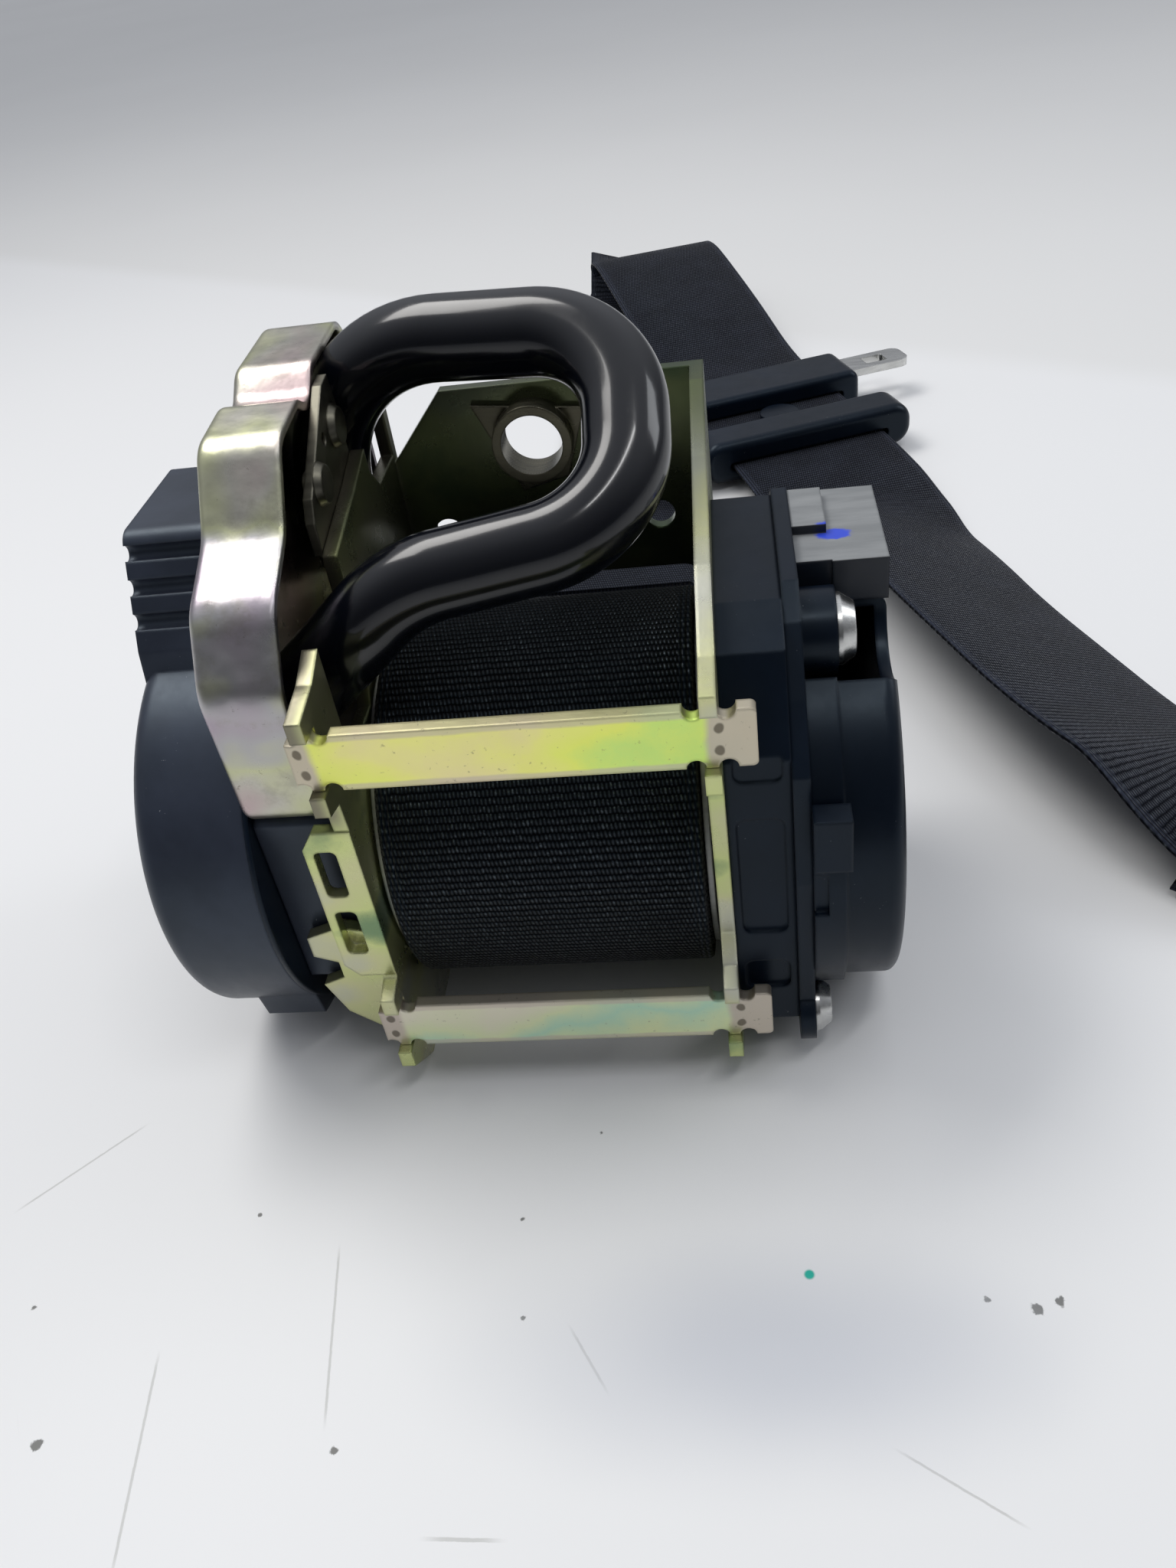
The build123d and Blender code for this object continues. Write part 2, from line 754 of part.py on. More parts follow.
with BuildPart() as connector_pins:
    with BuildSketch(upright(connector_y1 - 0.5)):
        with Locations((-cover_x0 - 4.4, socket_z), (-cover_x0 - 8.6, socket_z)):
            Rectangle(0.7, 0.7)
    extrude(amount=-8.5)
save(connector_pins, "connector_pins")

# Screws of the right side, domed heads
with BuildPart() as base_screws:
    for place, head, seat, foot in (
        ((screw_y, screw_z), 5.2, boss_end, base_x - 2),
        ((lower_boss_y, lower_boss_z), 4.2, base_x + 2.4, base_x + 0.1),
    ):
        with BuildSketch(across(seat)):
            with Locations(place):
                Circle(head)
        extrude(amount=0.7)
        with BuildSketch(across(seat + 0.7)):
            with Locations(place):
                Circle(head)
        extrude(amount=1.9, taper=35)
        with BuildSketch(across(foot)):
            with Locations(place):
                Circle(2.0)
        extrude(amount=seat - foot)
save(base_screws, "base_screws")

# Vehicle sensor under the inertia disc: cup, ball and lever
ball_r = 2.4
cup_z = 5.0
sensor_x0 = outer_face + 2.7
sensor_x1 = outer_face + 7.3
sensor_x = (sensor_x0 + sensor_x1) / 2
lever_x = outer_face + 3.4
lever_wide = 2.4
lever_y = spool_y + 6.4
lever_z = cup_z + 2 * ball_r + 1.3
lever_pin = 0.5
with BuildPart() as sensor_cup:
    with BuildSketch(Plane.XY.offset(4.3)):
        with Locations((sensor_x, spool_y + 0.5)):
            Rectangle(sensor_x1 - sensor_x0, 15)
    extrude(amount=cup_z + 1.2 - 4.3)
    with Locations((sensor_x, spool_y, cup_z + ball_r)):
        Sphere(ball_r + 0.02, mode=Mode.SUBTRACT)
    ear_x = lever_x + lever_wide + 0.2
    with BuildSketch(Plane.XY.offset(cup_z + 1.2)):
        with Locations(((ear_x + sensor_x1) / 2, lever_y)):
            Rectangle(sensor_x1 - ear_x, 3.2)
    extrude(amount=lever_z - cup_z + 0.4)
    with BuildSketch(across(lever_x)):
        with Locations((lever_y, lever_z)):
            Circle(lever_pin)
    extrude(amount=ear_x - lever_x)
save(sensor_cup, "sensor_cup")

with BuildPart() as sensor_ball:
    with Locations((sensor_x, spool_y, cup_z + ball_r)):
        Sphere(ball_r)
save(sensor_ball, "sensor_ball")

with BuildPart() as sensor_lever:
    with BuildSketch(across(lever_x)):
        with Locations((lever_y, lever_z)):
            Circle(1.3)
        with BuildLine():
            Polyline(
                (lever_y, lever_z - 1.1), (lever_y, lever_z + 1.1), (spool_y + 1, lever_z + 1.2),
                (spool_y - 0.6, 16.2), (spool_y - 1.3, 16.2), (spool_y - 1.6, lever_z - 1.1),
                close=True,
            )
        make_face()
        with Locations((lever_y, lever_z)):
            Circle(lever_pin + run_clear, mode=Mode.SUBTRACT)
    extrude(amount=lever_wide)
save(sensor_lever, "sensor_lever")

# Free webbing behind the retractor: off the roll, down to the table and over
strap_low = belt_thick / 2 + 0.3
turn_y = 372.0
turn_height = 23.0
leave = roll_radius + soft_gap + belt_thick / 2
leave_y = spool_y + leave * sin(radians(45))
leave_z = spool_z + leave * cos(radians(45))
land_y = leave_y + leave_z - strap_low
bridge_start_y = 360.0


def strap_along(path, side):
    """Flat strap swept along a plane path, its width along side."""
    start = Plane(origin=path @ 0, x_dir=side, z_dir=path % 0)
    with BuildPart() as made:
        with BuildSketch(start):
            Rectangle(belt_width, belt_thick)
        sweep(path=path)
    return made


with BuildLine(across(0)) as rear_path:
    FilletPolyline(
        (leave_y, leave_z),
        (land_y, strap_low),
        (turn_y + 11.5, strap_low),
        (turn_y + 11.5, strap_low + turn_height),
        (bridge_start_y, strap_low + turn_height),
        radius=(48, turn_height / 2 - 0.05, turn_height / 2 - 0.05),
    )
rear_wire = rear_path.wires()[0]
webbing_rear = strap_along(rear_wire, (1, 0, 0))
save(webbing_rear, "webbing_rear")

# Second stretch: down through the two fittings on the strap to the table
run_turn = -72.2
run_dir = Vector(cos(radians(run_turn)), sin(radians(run_turn)), 0)
bridge_start = Vector(9.0, bridge_start_y - 1.0, 0)
fitting_z = 6.9
run_plane = Plane(origin=bridge_start, x_dir=run_dir, z_dir=run_dir.cross(Vector(0, 0, 1)))
with BuildLine(run_plane) as bridge_path:
    FilletPolyline(
        (8.5, strap_low + turn_height - 1.0),
        (42, 16.5),
        (74, fitting_z),
        (156, fitting_z),
        (178, strap_low),
        (190, strap_low),
        radius=(40, 40, 22, 22),
    )
bridge_wire = bridge_path.wires()[0]
run_side = Vector(0, 0, 1).cross(run_dir)
webbing_bridge = strap_along(bridge_wire, run_side)
save(webbing_bridge, "webbing_bridge")

# Last stretch on the table, past the right side to the anchor
run_end = bridge_start + run_dir * 190
with BuildLine(Plane.XY.offset(strap_low)) as front_path:
    FilletPolyline(
        (run_end.X, run_end.Y),
        (run_end.X + 12 * run_dir.X, run_end.Y + 12 * run_dir.Y),
        (82.0, 126.0),
        (99.0, 80.0),
        (122.0, 50.0),
        (148.0, 30.0),
        radius=(200, 300, 110, 105),
    )
front_wire = front_path.wires()[0]
webbing_front = strap_along(front_wire, run_side)
save(webbing_front, "webbing_front")

for name, wire in (("rear", rear_wire), ("bridge", bridge_wire), ("front", front_wire)):
    print("webbing", name, round(wire.length, 1), "mm")


def on_run(along, height=0.0):
    """Plane across the strap at a distance along its second stretch."""
    place = bridge_start + run_dir * along + Vector(0, 0, height)
    return Plane(origin=place, x_dir=run_side, z_dir=run_dir)


# Buckle tongue on the strap: moulded body and its steel blade
tongue_at = 104.0
sleeve_clear = 0.5
tongue_low = 1.9
tongue_high = 13.6
blade_z = 10.8
with BuildPart() as tongue_body:
    with BuildSketch(on_run(tongue_at - 10, (tongue_low + tongue_high) / 2)):
        RectangleRounded(60, tongue_high - tongue_low, 3.5)
    extrude(amount=20)
    fillet(tongue_body.edges().filter_by(Axis((0, 0, 0), run_side)), 2.0)
    with BuildSketch(on_run(tongue_at - 12, fitting_z)):
        RectangleRounded(belt_width + 2 * sleeve_clear + 1, belt_thick + 2 * sleeve_clear + 0.4, 1.0)
    extrude(amount=24, mode=Mode.SUBTRACT)
    with BuildSketch(on_run(tongue_at - 5.5, blade_z)):
        with Locations((27, 0)):
            Rectangle(30, 2.6)
    extrude(amount=11, mode=Mode.SUBTRACT)
save(tongue_body, "tongue_body")

blade_x = 14.0
blade_out = 49.0
with BuildPart() as tongue_blade:
    with BuildSketch(on_run(tongue_at - 5.4, blade_z)):
        with Locations(((blade_x + blade_out) / 2, 0)):
            Rectangle(blade_out - blade_x, 2.4)
    extrude(amount=10.8)
    blade_top = Plane(
        origin=bridge_start + run_dir * tongue_at + Vector(0, 0, 8), x_dir=run_side, z_dir=(0, 0, 1)
    )
    with BuildSketch(blade_top):
        with Locations((blade_out - 10, 0)):
            RectangleRounded(7, 5.4, 0.8)
    extrude(amount=6, mode=Mode.SUBTRACT)
    fillet(tongue_blade.edges().filter_by(Axis.Z).group_by(Axis((0, 0, 0), run_side))[-1], 3)
save(tongue_blade, "tongue_blade")

# Upper guide loop of the strap: covered ring with a steel lug
guide_at = 140.0
with BuildPart() as guide_loop:
    with BuildSketch(on_run(guide_at - 7, 8.1)):
        RectangleRounded(64, 12.4, 5.5)
    extrude(amount=14)
    fillet(guide_loop.edges().filter_by(Axis((0, 0, 0), run_side)), 2.5)
    with BuildSketch(on_run(guide_at - 9, fitting_z)):
        RectangleRounded(belt_width + 2 * sleeve_clear + 1, belt_thick + 2 * sleeve_clear + 0.4, 1.0)
    extrude(amount=18, mode=Mode.SUBTRACT)
    with BuildSketch(on_run(guide_at - 5, 11.0)):
        with Locations((-24, 0)):
            Rectangle(18, 2.2)
    extrude(amount=10, mode=Mode.SUBTRACT)
save(guide_loop, "guide_loop")

lug_hole = 11.0
with BuildPart() as guide_lug:
    lug_plane = Plane(
        origin=bridge_start + run_dir * guide_at + Vector(0, 0, 10.0), x_dir=run_side, z_dir=(0, 0, 1)
    )
    with BuildSketch(lug_plane):
        with Locations((-31, 0)):
            Rectangle(29, 9.8)
        with Locations((-45, 0)):
            Circle(10.5)
            Circle(lug_hole / 2, mode=Mode.SUBTRACT)
    extrude(amount=2.0)
save(guide_lug, "guide_lug")

# Stop button riveted through the strap below the tongue
button_at = 122.5
with BuildPart() as stop_button:
    with BuildSketch(Plane.XY.offset(fitting_z + belt_thick / 2)):
        with Locations(tuple(bridge_start + run_dir * button_at)[:2]):
            Circle(6.0)
    extrude(amount=2.2)
    with BuildSketch(Plane.XY.offset(fitting_z - belt_thick / 2 - 2.2)):
        with Locations(tuple(bridge_start + run_dir * button_at)[:2]):
            Circle(6.0)
    extrude(amount=2.2)
save(stop_button, "stop_button")

# Stitched end of the strap, folded back on itself
stitch_length = 40.0
with BuildPart() as webbing_hem:
    hem_dir = (front_wire % 1) * -1
    hem_plane = Plane(
        origin=(front_wire @ 1) + Vector(0, 0, belt_thick / 2), x_dir=hem_dir, z_dir=(0, 0, 1)
    )
    with BuildSketch(hem_plane):
        with Locations((stitch_length / 2, 0)):
            Rectangle(stitch_length, belt_width - 1)
    extrude(amount=belt_thick)
save(webbing_hem, "webbing_hem")

# Anchor plate at the strap's end, with its bolt hole
anchor_hole = 11.5
with BuildPart() as anchor_plate:
    anchor_dir = front_wire % 1
    plate_plane = Plane(origin=front_wire @ 1, x_dir=anchor_dir, z_dir=(0, 0, 1)).offset(-strap_low)
    with BuildSketch(plate_plane):
        with Locations((4.5, 0)):
            RectangleRounded(8.6, 56, 2)
        with BuildLine():
            Polyline((8, -20), (8, 20), (26, 11), (30, 0), (26, -11), close=True)
        make_face()
        with Locations((19, 0)):
            Circle(anchor_hole / 2, mode=Mode.SUBTRACT)
    extrude(amount=3.0)
save(anchor_plate, "anchor_plate")
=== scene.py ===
import bmesh
import bpy
import math
from mathutils import Matrix, Vector


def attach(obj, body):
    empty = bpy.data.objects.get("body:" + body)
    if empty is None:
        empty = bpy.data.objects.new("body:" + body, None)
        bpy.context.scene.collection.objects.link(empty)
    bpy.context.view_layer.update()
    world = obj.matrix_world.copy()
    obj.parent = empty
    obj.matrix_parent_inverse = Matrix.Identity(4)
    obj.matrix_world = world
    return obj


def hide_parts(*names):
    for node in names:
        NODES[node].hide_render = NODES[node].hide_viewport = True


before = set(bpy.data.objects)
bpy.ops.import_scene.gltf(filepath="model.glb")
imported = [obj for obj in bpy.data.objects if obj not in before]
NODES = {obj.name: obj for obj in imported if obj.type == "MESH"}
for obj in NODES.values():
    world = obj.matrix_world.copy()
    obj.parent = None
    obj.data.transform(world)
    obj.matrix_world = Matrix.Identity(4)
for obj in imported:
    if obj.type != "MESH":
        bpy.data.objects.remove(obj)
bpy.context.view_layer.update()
MM = 0.001
ORIGIN = Vector((-4.0, 34.7, 0.0))

# Driving sizes in millimetres, as the part is drawn; place() moves them to the frame's origin
BELT_WIDTH = 47.0
BELT_THICK = 1.2
AXIS_Y = 35.0
AXIS_Z = 35.0
ROLL_RADIUS = 31.0
CORE_RADIUS = 15.0
TUBE_RADIUS = 6.2
TUBE_BORE = 5.0
NUT_X = -1.0
NUT_Z = 82.0
THREAD_MINOR = 5.05
THREAD_PITCH = 1.25
THREAD_FRONT = 64.0
THREAD_BACK = 70.2
THREAD_DEPTH = 0.62
UPPER_BAR = (63.5, 72.5)
LOWER_BAR = (10.5, 19.5)
BAR_FILM_END = 25.2
BAR_FILM_FADE = 1.4
RIM_OUTER = 0.7
RIM_INNER = 1.2
PUNCH_X = 27.6
PUNCH_RISE = 1.75


def place(x, y, z):
    """A drawn point, given in millimetres, in the frame."""
    return (Vector((x, y, z)) - ORIGIN) * MM


BLUE_MARK = place(45.0, 37.5, 75.6)


# Small kit for materials
class Shader:
    """Node tree of one material, with short ways to add and join nodes."""

    def __init__(self, name):
        self.material = bpy.data.materials.new(name)
        self.material.use_nodes = True
        self.tree = self.material.node_tree
        self.surface = self.tree.nodes["Principled BSDF"]
        self.coords = self.add("ShaderNodeTexCoord").outputs["Object"]

    def add(self, kind, **settings):
        node = self.tree.nodes.new(kind)
        for key, value in settings.items():
            setattr(node, key, value)
        return node

    def link(self, source, target):
        self.tree.links.new(source, target)

    def put(self, target, value):
        if hasattr(value, "links"):
            self.link(value, target)
        else:
            target.default_value = value

    def set(self, **values):
        for key, value in values.items():
            self.put(self.surface.inputs[key.replace("_", " ")], value)

    def geometry(self, output="Position"):
        return self.add("ShaderNodeNewGeometry").outputs[output]

    def mapped(self, source, location=(0, 0, 0), rotation=(0, 0, 0), scale=(1, 1, 1)):
        node = self.add("ShaderNodeMapping")
        self.link(source, node.inputs["Vector"])
        node.inputs["Location"].default_value = location
        node.inputs["Rotation"].default_value = rotation
        node.inputs["Scale"].default_value = scale
        return node.outputs["Vector"]

    def vector(self, operation, source, value=None):
        """The number that a vector operation gives, such as a length, a distance or a dot product."""
        node = self.add("ShaderNodeVectorMath", operation=operation)
        self.link(source, node.inputs[0])
        if value is not None:
            node.inputs[1].default_value = value
        return node.outputs["Value"]

    def reach(self, middle, scale):
        """Distance of a place from a middle, with a scale for each axis."""
        shift = tuple(-spot * factor for spot, factor in zip(middle, scale))
        return self.vector("LENGTH", self.mapped(self.geometry(), shift, scale=scale))

    def noise(self, scale, detail=4.0, rough=0.55, stretch=(1, 1, 1), coords=None):
        node = self.add("ShaderNodeTexNoise")
        self.link(self.mapped(coords or self.coords, scale=stretch), node.inputs["Vector"])
        node.inputs["Scale"].default_value = scale
        node.inputs["Detail"].default_value = detail
        node.inputs["Roughness"].default_value = rough
        return node.outputs["Fac"]

    def math(self, operation, a, b=0.0, c=0.0, clamp=False):
        node = self.add("ShaderNodeMath", operation=operation, use_clamp=clamp)
        self.put(node.inputs[0], a)
        self.put(node.inputs[1], b)
        if len(node.inputs) > 2:
            self.put(node.inputs[2], c)
        return node.outputs[0]

    def ramp(self, factor, *stops, interpolation="LINEAR"):
        node = self.add("ShaderNodeValToRGB")
        node.color_ramp.interpolation = interpolation
        points = node.color_ramp.elements
        while len(points) < len(stops):
            points.new(0.5)
        for point, (position, colour) in zip(points, stops):
            point.position = position
            point.color = (*colour, 1.0) if len(colour) == 3 else colour
        self.link(factor, node.inputs["Fac"])
        return node.outputs["Color"]

    def step(self, factor, low, high):
        """0 below low, 1 above high, smooth between."""
        node = self.add("ShaderNodeMapRange", interpolation_type="SMOOTHSTEP")
        self.put(node.inputs["Value"], factor)
        node.inputs["From Min"].default_value = low
        node.inputs["From Max"].default_value = high
        return node.outputs["Result"]

    def mix(self, factor, a, b, blend="MIX"):
        node = self.add("ShaderNodeMix", data_type="RGBA", blend_type=blend)
        self.put(node.inputs[0], factor)
        for socket, value in ((node.inputs[6], a), (node.inputs[7], b)):
            self.put(socket, (*value, 1.0) if isinstance(value, tuple) and len(value) == 3 else value)
        return node.outputs[2]

    def stain(self, tone, amount, strength, colour):
        """Cover a tone with a colour, as far as the amount and the strength say."""
        return self.mix(self.math("MULTIPLY", amount, strength), tone, colour)

    def axis(self, index, coords):
        node = self.add("ShaderNodeSeparateXYZ")
        self.link(coords, node.inputs[0])
        return node.outputs[index]

    def bump(self, height, strength, distance, edge=0.0):
        node = self.add("ShaderNodeBump")
        self.put(node.inputs["Height"], height)
        node.inputs["Strength"].default_value = strength
        node.inputs["Distance"].default_value = distance
        if edge:
            bevel = self.add("ShaderNodeBevel", samples=4)
            bevel.inputs["Radius"].default_value = edge
            self.link(bevel.outputs[0], node.inputs["Normal"])
        self.link(node.outputs[0], self.surface.inputs["Normal"])


def scaled(colour, factor):
    """A darker or lighter colour."""
    return tuple(c * factor for c in colour)


# Film colours along each ramp
YELLOW_FILM = ((0.0, (0.90, 0.80, 0.40)), (0.2, (0.92, 0.90, 0.28)), (0.5, (0.88, 0.95, 0.20)),
               (0.75, (0.66, 0.90, 0.24)), (1.0, (0.90, 0.90, 0.24)))
GREEN_FILM = ((0.0, (0.80, 0.74, 0.62)), (0.35, (0.74, 0.80, 0.50)), (0.65, (0.50, 0.74, 0.56)),
              (1.0, (0.84, 0.84, 0.44)))
PALE_FILM = ((0.0, (0.50, 0.38, 0.39)), (0.3, (0.54, 0.52, 0.45)), (0.5, (0.56, 0.57, 0.36)),
             (0.7, (0.46, 0.45, 0.45)), (1.0, (0.42, 0.34, 0.41)))
PLATE_FILM = ((0.0, (0.54, 0.54, 0.46)), (0.4, (0.62, 0.62, 0.34)), (0.8, (0.60, 0.66, 0.28)),
              (1.0, (0.20, 0.30, 0.16)))


class Zinc(Shader):
    """Yellow passivated zinc: thin film colours over a satin metal."""

    def drifting_film(self, scale, fine_scale, tints):
        drift = self.noise(scale, 2.0, 0.5, (1, 0.6, 1.6))
        fine = self.noise(fine_scale, 6.0, 0.6)
        mixed = self.math("ADD", drift, self.math("MULTIPLY", fine, 0.09))
        return self.ramp(self.step(mixed, 0.36, 0.72), *tints)

    def finish(self, film, worn_scale, rough):
        worn = self.noise(worn_scale, 5.0, 0.65)
        self.set(Base_Color=film, Metallic=0.86, Specular_IOR_Level=0.6)
        self.set(Roughness=self.math("MULTIPLY_ADD", worn, 0.22, rough))
        self.bump(self.noise(1400, 3.0, 0.6), 0.25, 0.00006, 0.0006)
        return self.material


def bar_zinc(name, tints, scale, span):
    """Flat bar: film colours in its middle, pinkish grey ends and rims, and punch marks at the claws
    painted as dark spots of shade.
    """
    made = Zinc(name)
    where = made.geometry()
    up = made.axis(2, where)
    film = made.drifting_film(scale, scale * 9, tints)
    wander = made.math("MULTIPLY", made.math("SUBTRACT", made.noise(120, 3.0, 0.6), 0.5), 0.002)
    across = made.math("SUBTRACT", made.axis(0, where), place(0, 0, 0).x)
    side = made.math("ABSOLUTE", made.math("ADD", across, wander))
    ends = made.step(side, BAR_FILM_END * MM, (BAR_FILM_END + BAR_FILM_FADE) * MM)
    height = made.math("ADD", up, made.math("MULTIPLY", wander, 0.4))
    low, high = span
    rims = made.math("MAXIMUM", made.step(height, (low + RIM_INNER) * MM, (low + RIM_OUTER) * MM),
                     made.step(height, (high - RIM_INNER) * MM, (high - RIM_OUTER) * MM))
    grey = made.math("MAXIMUM", ends, made.math("MULTIPLY", rims, 0.7))
    film = made.stain(film, grey, 0.9, (0.58, 0.50, 0.44))
    dirt = made.step(made.noise(900, 3.0, 0.7), 0.64, 0.72)
    film = made.stain(film, dirt, 0.45, (0.16, 0.14, 0.09))
    # Punch marks: painted shade, dark brown spots that stand for the shade in the small dimples, which
    # have no dent of their own.
    level = made.math("ABSOLUTE", made.math("SUBTRACT", up, (low + high) / 2 * MM))
    near = made.math("POWER", made.math("SUBTRACT", side, PUNCH_X * MM), 2.0)
    rise = made.math("MULTIPLY", made.math("SUBTRACT", level, PUNCH_RISE * MM), 0.8)
    reach = made.math("SQRT", made.math("ADD", near, made.math("POWER", rise, 2.0)))
    film = made.stain(film, made.step(reach, 0.80 * MM, 0.50 * MM), 0.75, (0.07, 0.055, 0.035))
    return made.finish(film, scale * 4, 0.24)


def frame_zinc():
    """The pressing: bright film on its edges and claws, painted shade that darkens its back plate to
    olive black, and a darker brownish grey high on its left.
    """
    made = Zinc("zinc plate")
    where = made.geometry()
    film = made.drifting_film(34, 300, PLATE_FILM)
    # Painted shade: deep behind the side plates' front edges the back plate is darkened to olive black,
    # for the shade inside the frame.
    deep = made.step(made.axis(1, where), place(0, 22, 0).y, place(0, 60, 0).y)
    film = made.stain(film, deep, 0.88, (0.055, 0.075, 0.040))
    beside = made.math("MULTIPLY", made.step(made.axis(0, where), place(-24, 0, 0).x, place(-27, 0, 0).x),
                       made.step(made.axis(2, where), place(0, 0, 52).z, place(0, 0, 58).z))
    film = made.stain(film, beside, 0.92, (0.20, 0.18, 0.14))
    return made.finish(film, 140, 0.18)


def drawn_steel():
    """Drawn and passivated shell: satin chrome with soft dents, film colours and rubbed spots."""
    made = Shader("drawn steel")
    drift = made.noise(30, 3.0, 0.55, (1, 0.7, 1.3))
    film = made.ramp(made.step(drift, 0.30, 0.72), *PALE_FILM)
    blot = made.step(made.noise(150, 5.0, 0.7), 0.50, 0.68)
    film = made.stain(film, blot, 0.38, (0.30, 0.28, 0.22))
    rubbed = made.step(made.noise(620, 4.0, 0.7), 0.66, 0.74)
    film = made.stain(film, rubbed, 0.6, (0.14, 0.12, 0.08))
    made.set(Base_Color=film, Metallic=0.96, Specular_IOR_Level=0.6)
    worn = made.noise(190, 5.0, 0.65)
    made.set(Roughness=made.math("MULTIPLY_ADD", worn, 0.30, 0.16))
    ripples = made.math("MULTIPLY", made.noise(340, 3.0, 0.5), 0.10)
    dents = made.math("ADD", made.noise(85, 2.0, 0.45), ripples)
    made.bump(dents, 0.42, 0.0014, 0.0009)
    return made.material


def plastic(name, colour, rough=0.34, dust=0.5, shine=0.5):
    """Moulded black plastic with a fine grain, rubbed patches and specks of dust."""
    made = Shader(name)
    cloud = made.noise(45, 5.0, 0.6)
    tone = made.mix(made.step(cloud, 0.3, 0.8), scaled(colour, 0.75), scaled(colour, 1.5))
    speck = made.step(made.noise(2600, 2.0, 0.5), 0.735, 0.76)
    patches = made.step(made.noise(110, 3.0, 0.6), 0.52, 0.62)
    speck = made.math("MULTIPLY", speck, made.math("MULTIPLY", patches, dust))
    made.set(Base_Color=made.mix(speck, tone, (0.42, 0.43, 0.45)))
    scuff = made.noise(260, 6.0, 0.7, (1, 1, 0.3))
    made.set(Roughness=made.math("MULTIPLY_ADD", scuff, 0.24, rough - 0.1))
    made.set(Specular_IOR_Level=shine, Specular_Tint=(0.70, 0.86, 1.0, 1.0))
    made.bump(made.noise(5200, 2.0, 0.5), 0.12, 0.00004, 0.0007)
    return made.material


def connector_plastic():
    """Near-black moulding with a painted sheen, light grey on its upward faces, and a small blue paint
    mark.
    """
    made = Shader("connector plastic")
    # Painted highlight: faces that look up are coloured light grey, the rest stay near black.
    level = made.step(made.axis(2, made.geometry("Normal")), 0.4, 0.9)
    cloud = made.step(made.noise(160, 5.0, 0.6, (0.4, 2, 1)), 0.3, 0.75)
    top = made.mix(cloud, (0.20, 0.21, 0.215), (0.28, 0.29, 0.295))
    tone = made.mix(level, (0.008, 0.012, 0.020), top)
    wander = made.math("MULTIPLY", made.noise(900, 3.0, 0.6), 0.7)
    ragged = made.math("ADD", made.reach(BLUE_MARK, (380, 620, 100)), wander)
    mark = made.math("MULTIPLY", made.step(ragged, 1.5, 1.1), level)
    made.set(Base_Color=made.mix(mark, tone, (0.035, 0.075, 0.62)))
    made.set(Roughness=0.38, Specular_IOR_Level=0.4)
    made.bump(made.noise(5200, 2.0, 0.5), 0.12, 0.00004, 0.0006)
    return made.material


def metal(name, colour, rough, scratch):
    """Bare or cast metal with light brushing."""
    made = Shader(name)
    lines = made.noise(700, 4.0, 0.6, (0.15, 1, 1))
    made.set(Base_Color=made.mix(made.step(lines, 0.3, 0.7), scaled(colour, 0.8), colour))
    made.set(Metallic=1.0, Roughness=made.math("MULTIPLY_ADD", lines, scratch, rough - scratch / 2))
    made.bump(lines, 0.15, 0.00005, 0.0004)
    return made.material


def gloss_black():
    """Black enamel of the bent tube: deep gloss with slight waves and nicks."""
    made = Shader("tube enamel")
    made.set(Base_Color=(0.0022, 0.0030, 0.0058, 1))
    made.set(Roughness=made.math("MULTIPLY_ADD", made.noise(300, 5.0, 0.7), 0.10, 0.12))
    made.set(Specular_IOR_Level=0.42, Coat_Weight=0.25, Coat_Roughness=0.05)
    waves = made.noise(60, 2.0, 0.4)
    nicks = made.step(made.noise(520, 4.0, 0.7), 0.72, 0.78)
    made.bump(made.math("SUBTRACT", waves, made.math("MULTIPLY", nicks, 0.25)), 0.22, 0.0005)
    return made.material


WEAVE_ROW = 1.15
WEAVE_PITCH = 0.62
SELVEDGE_RIB = 0.8


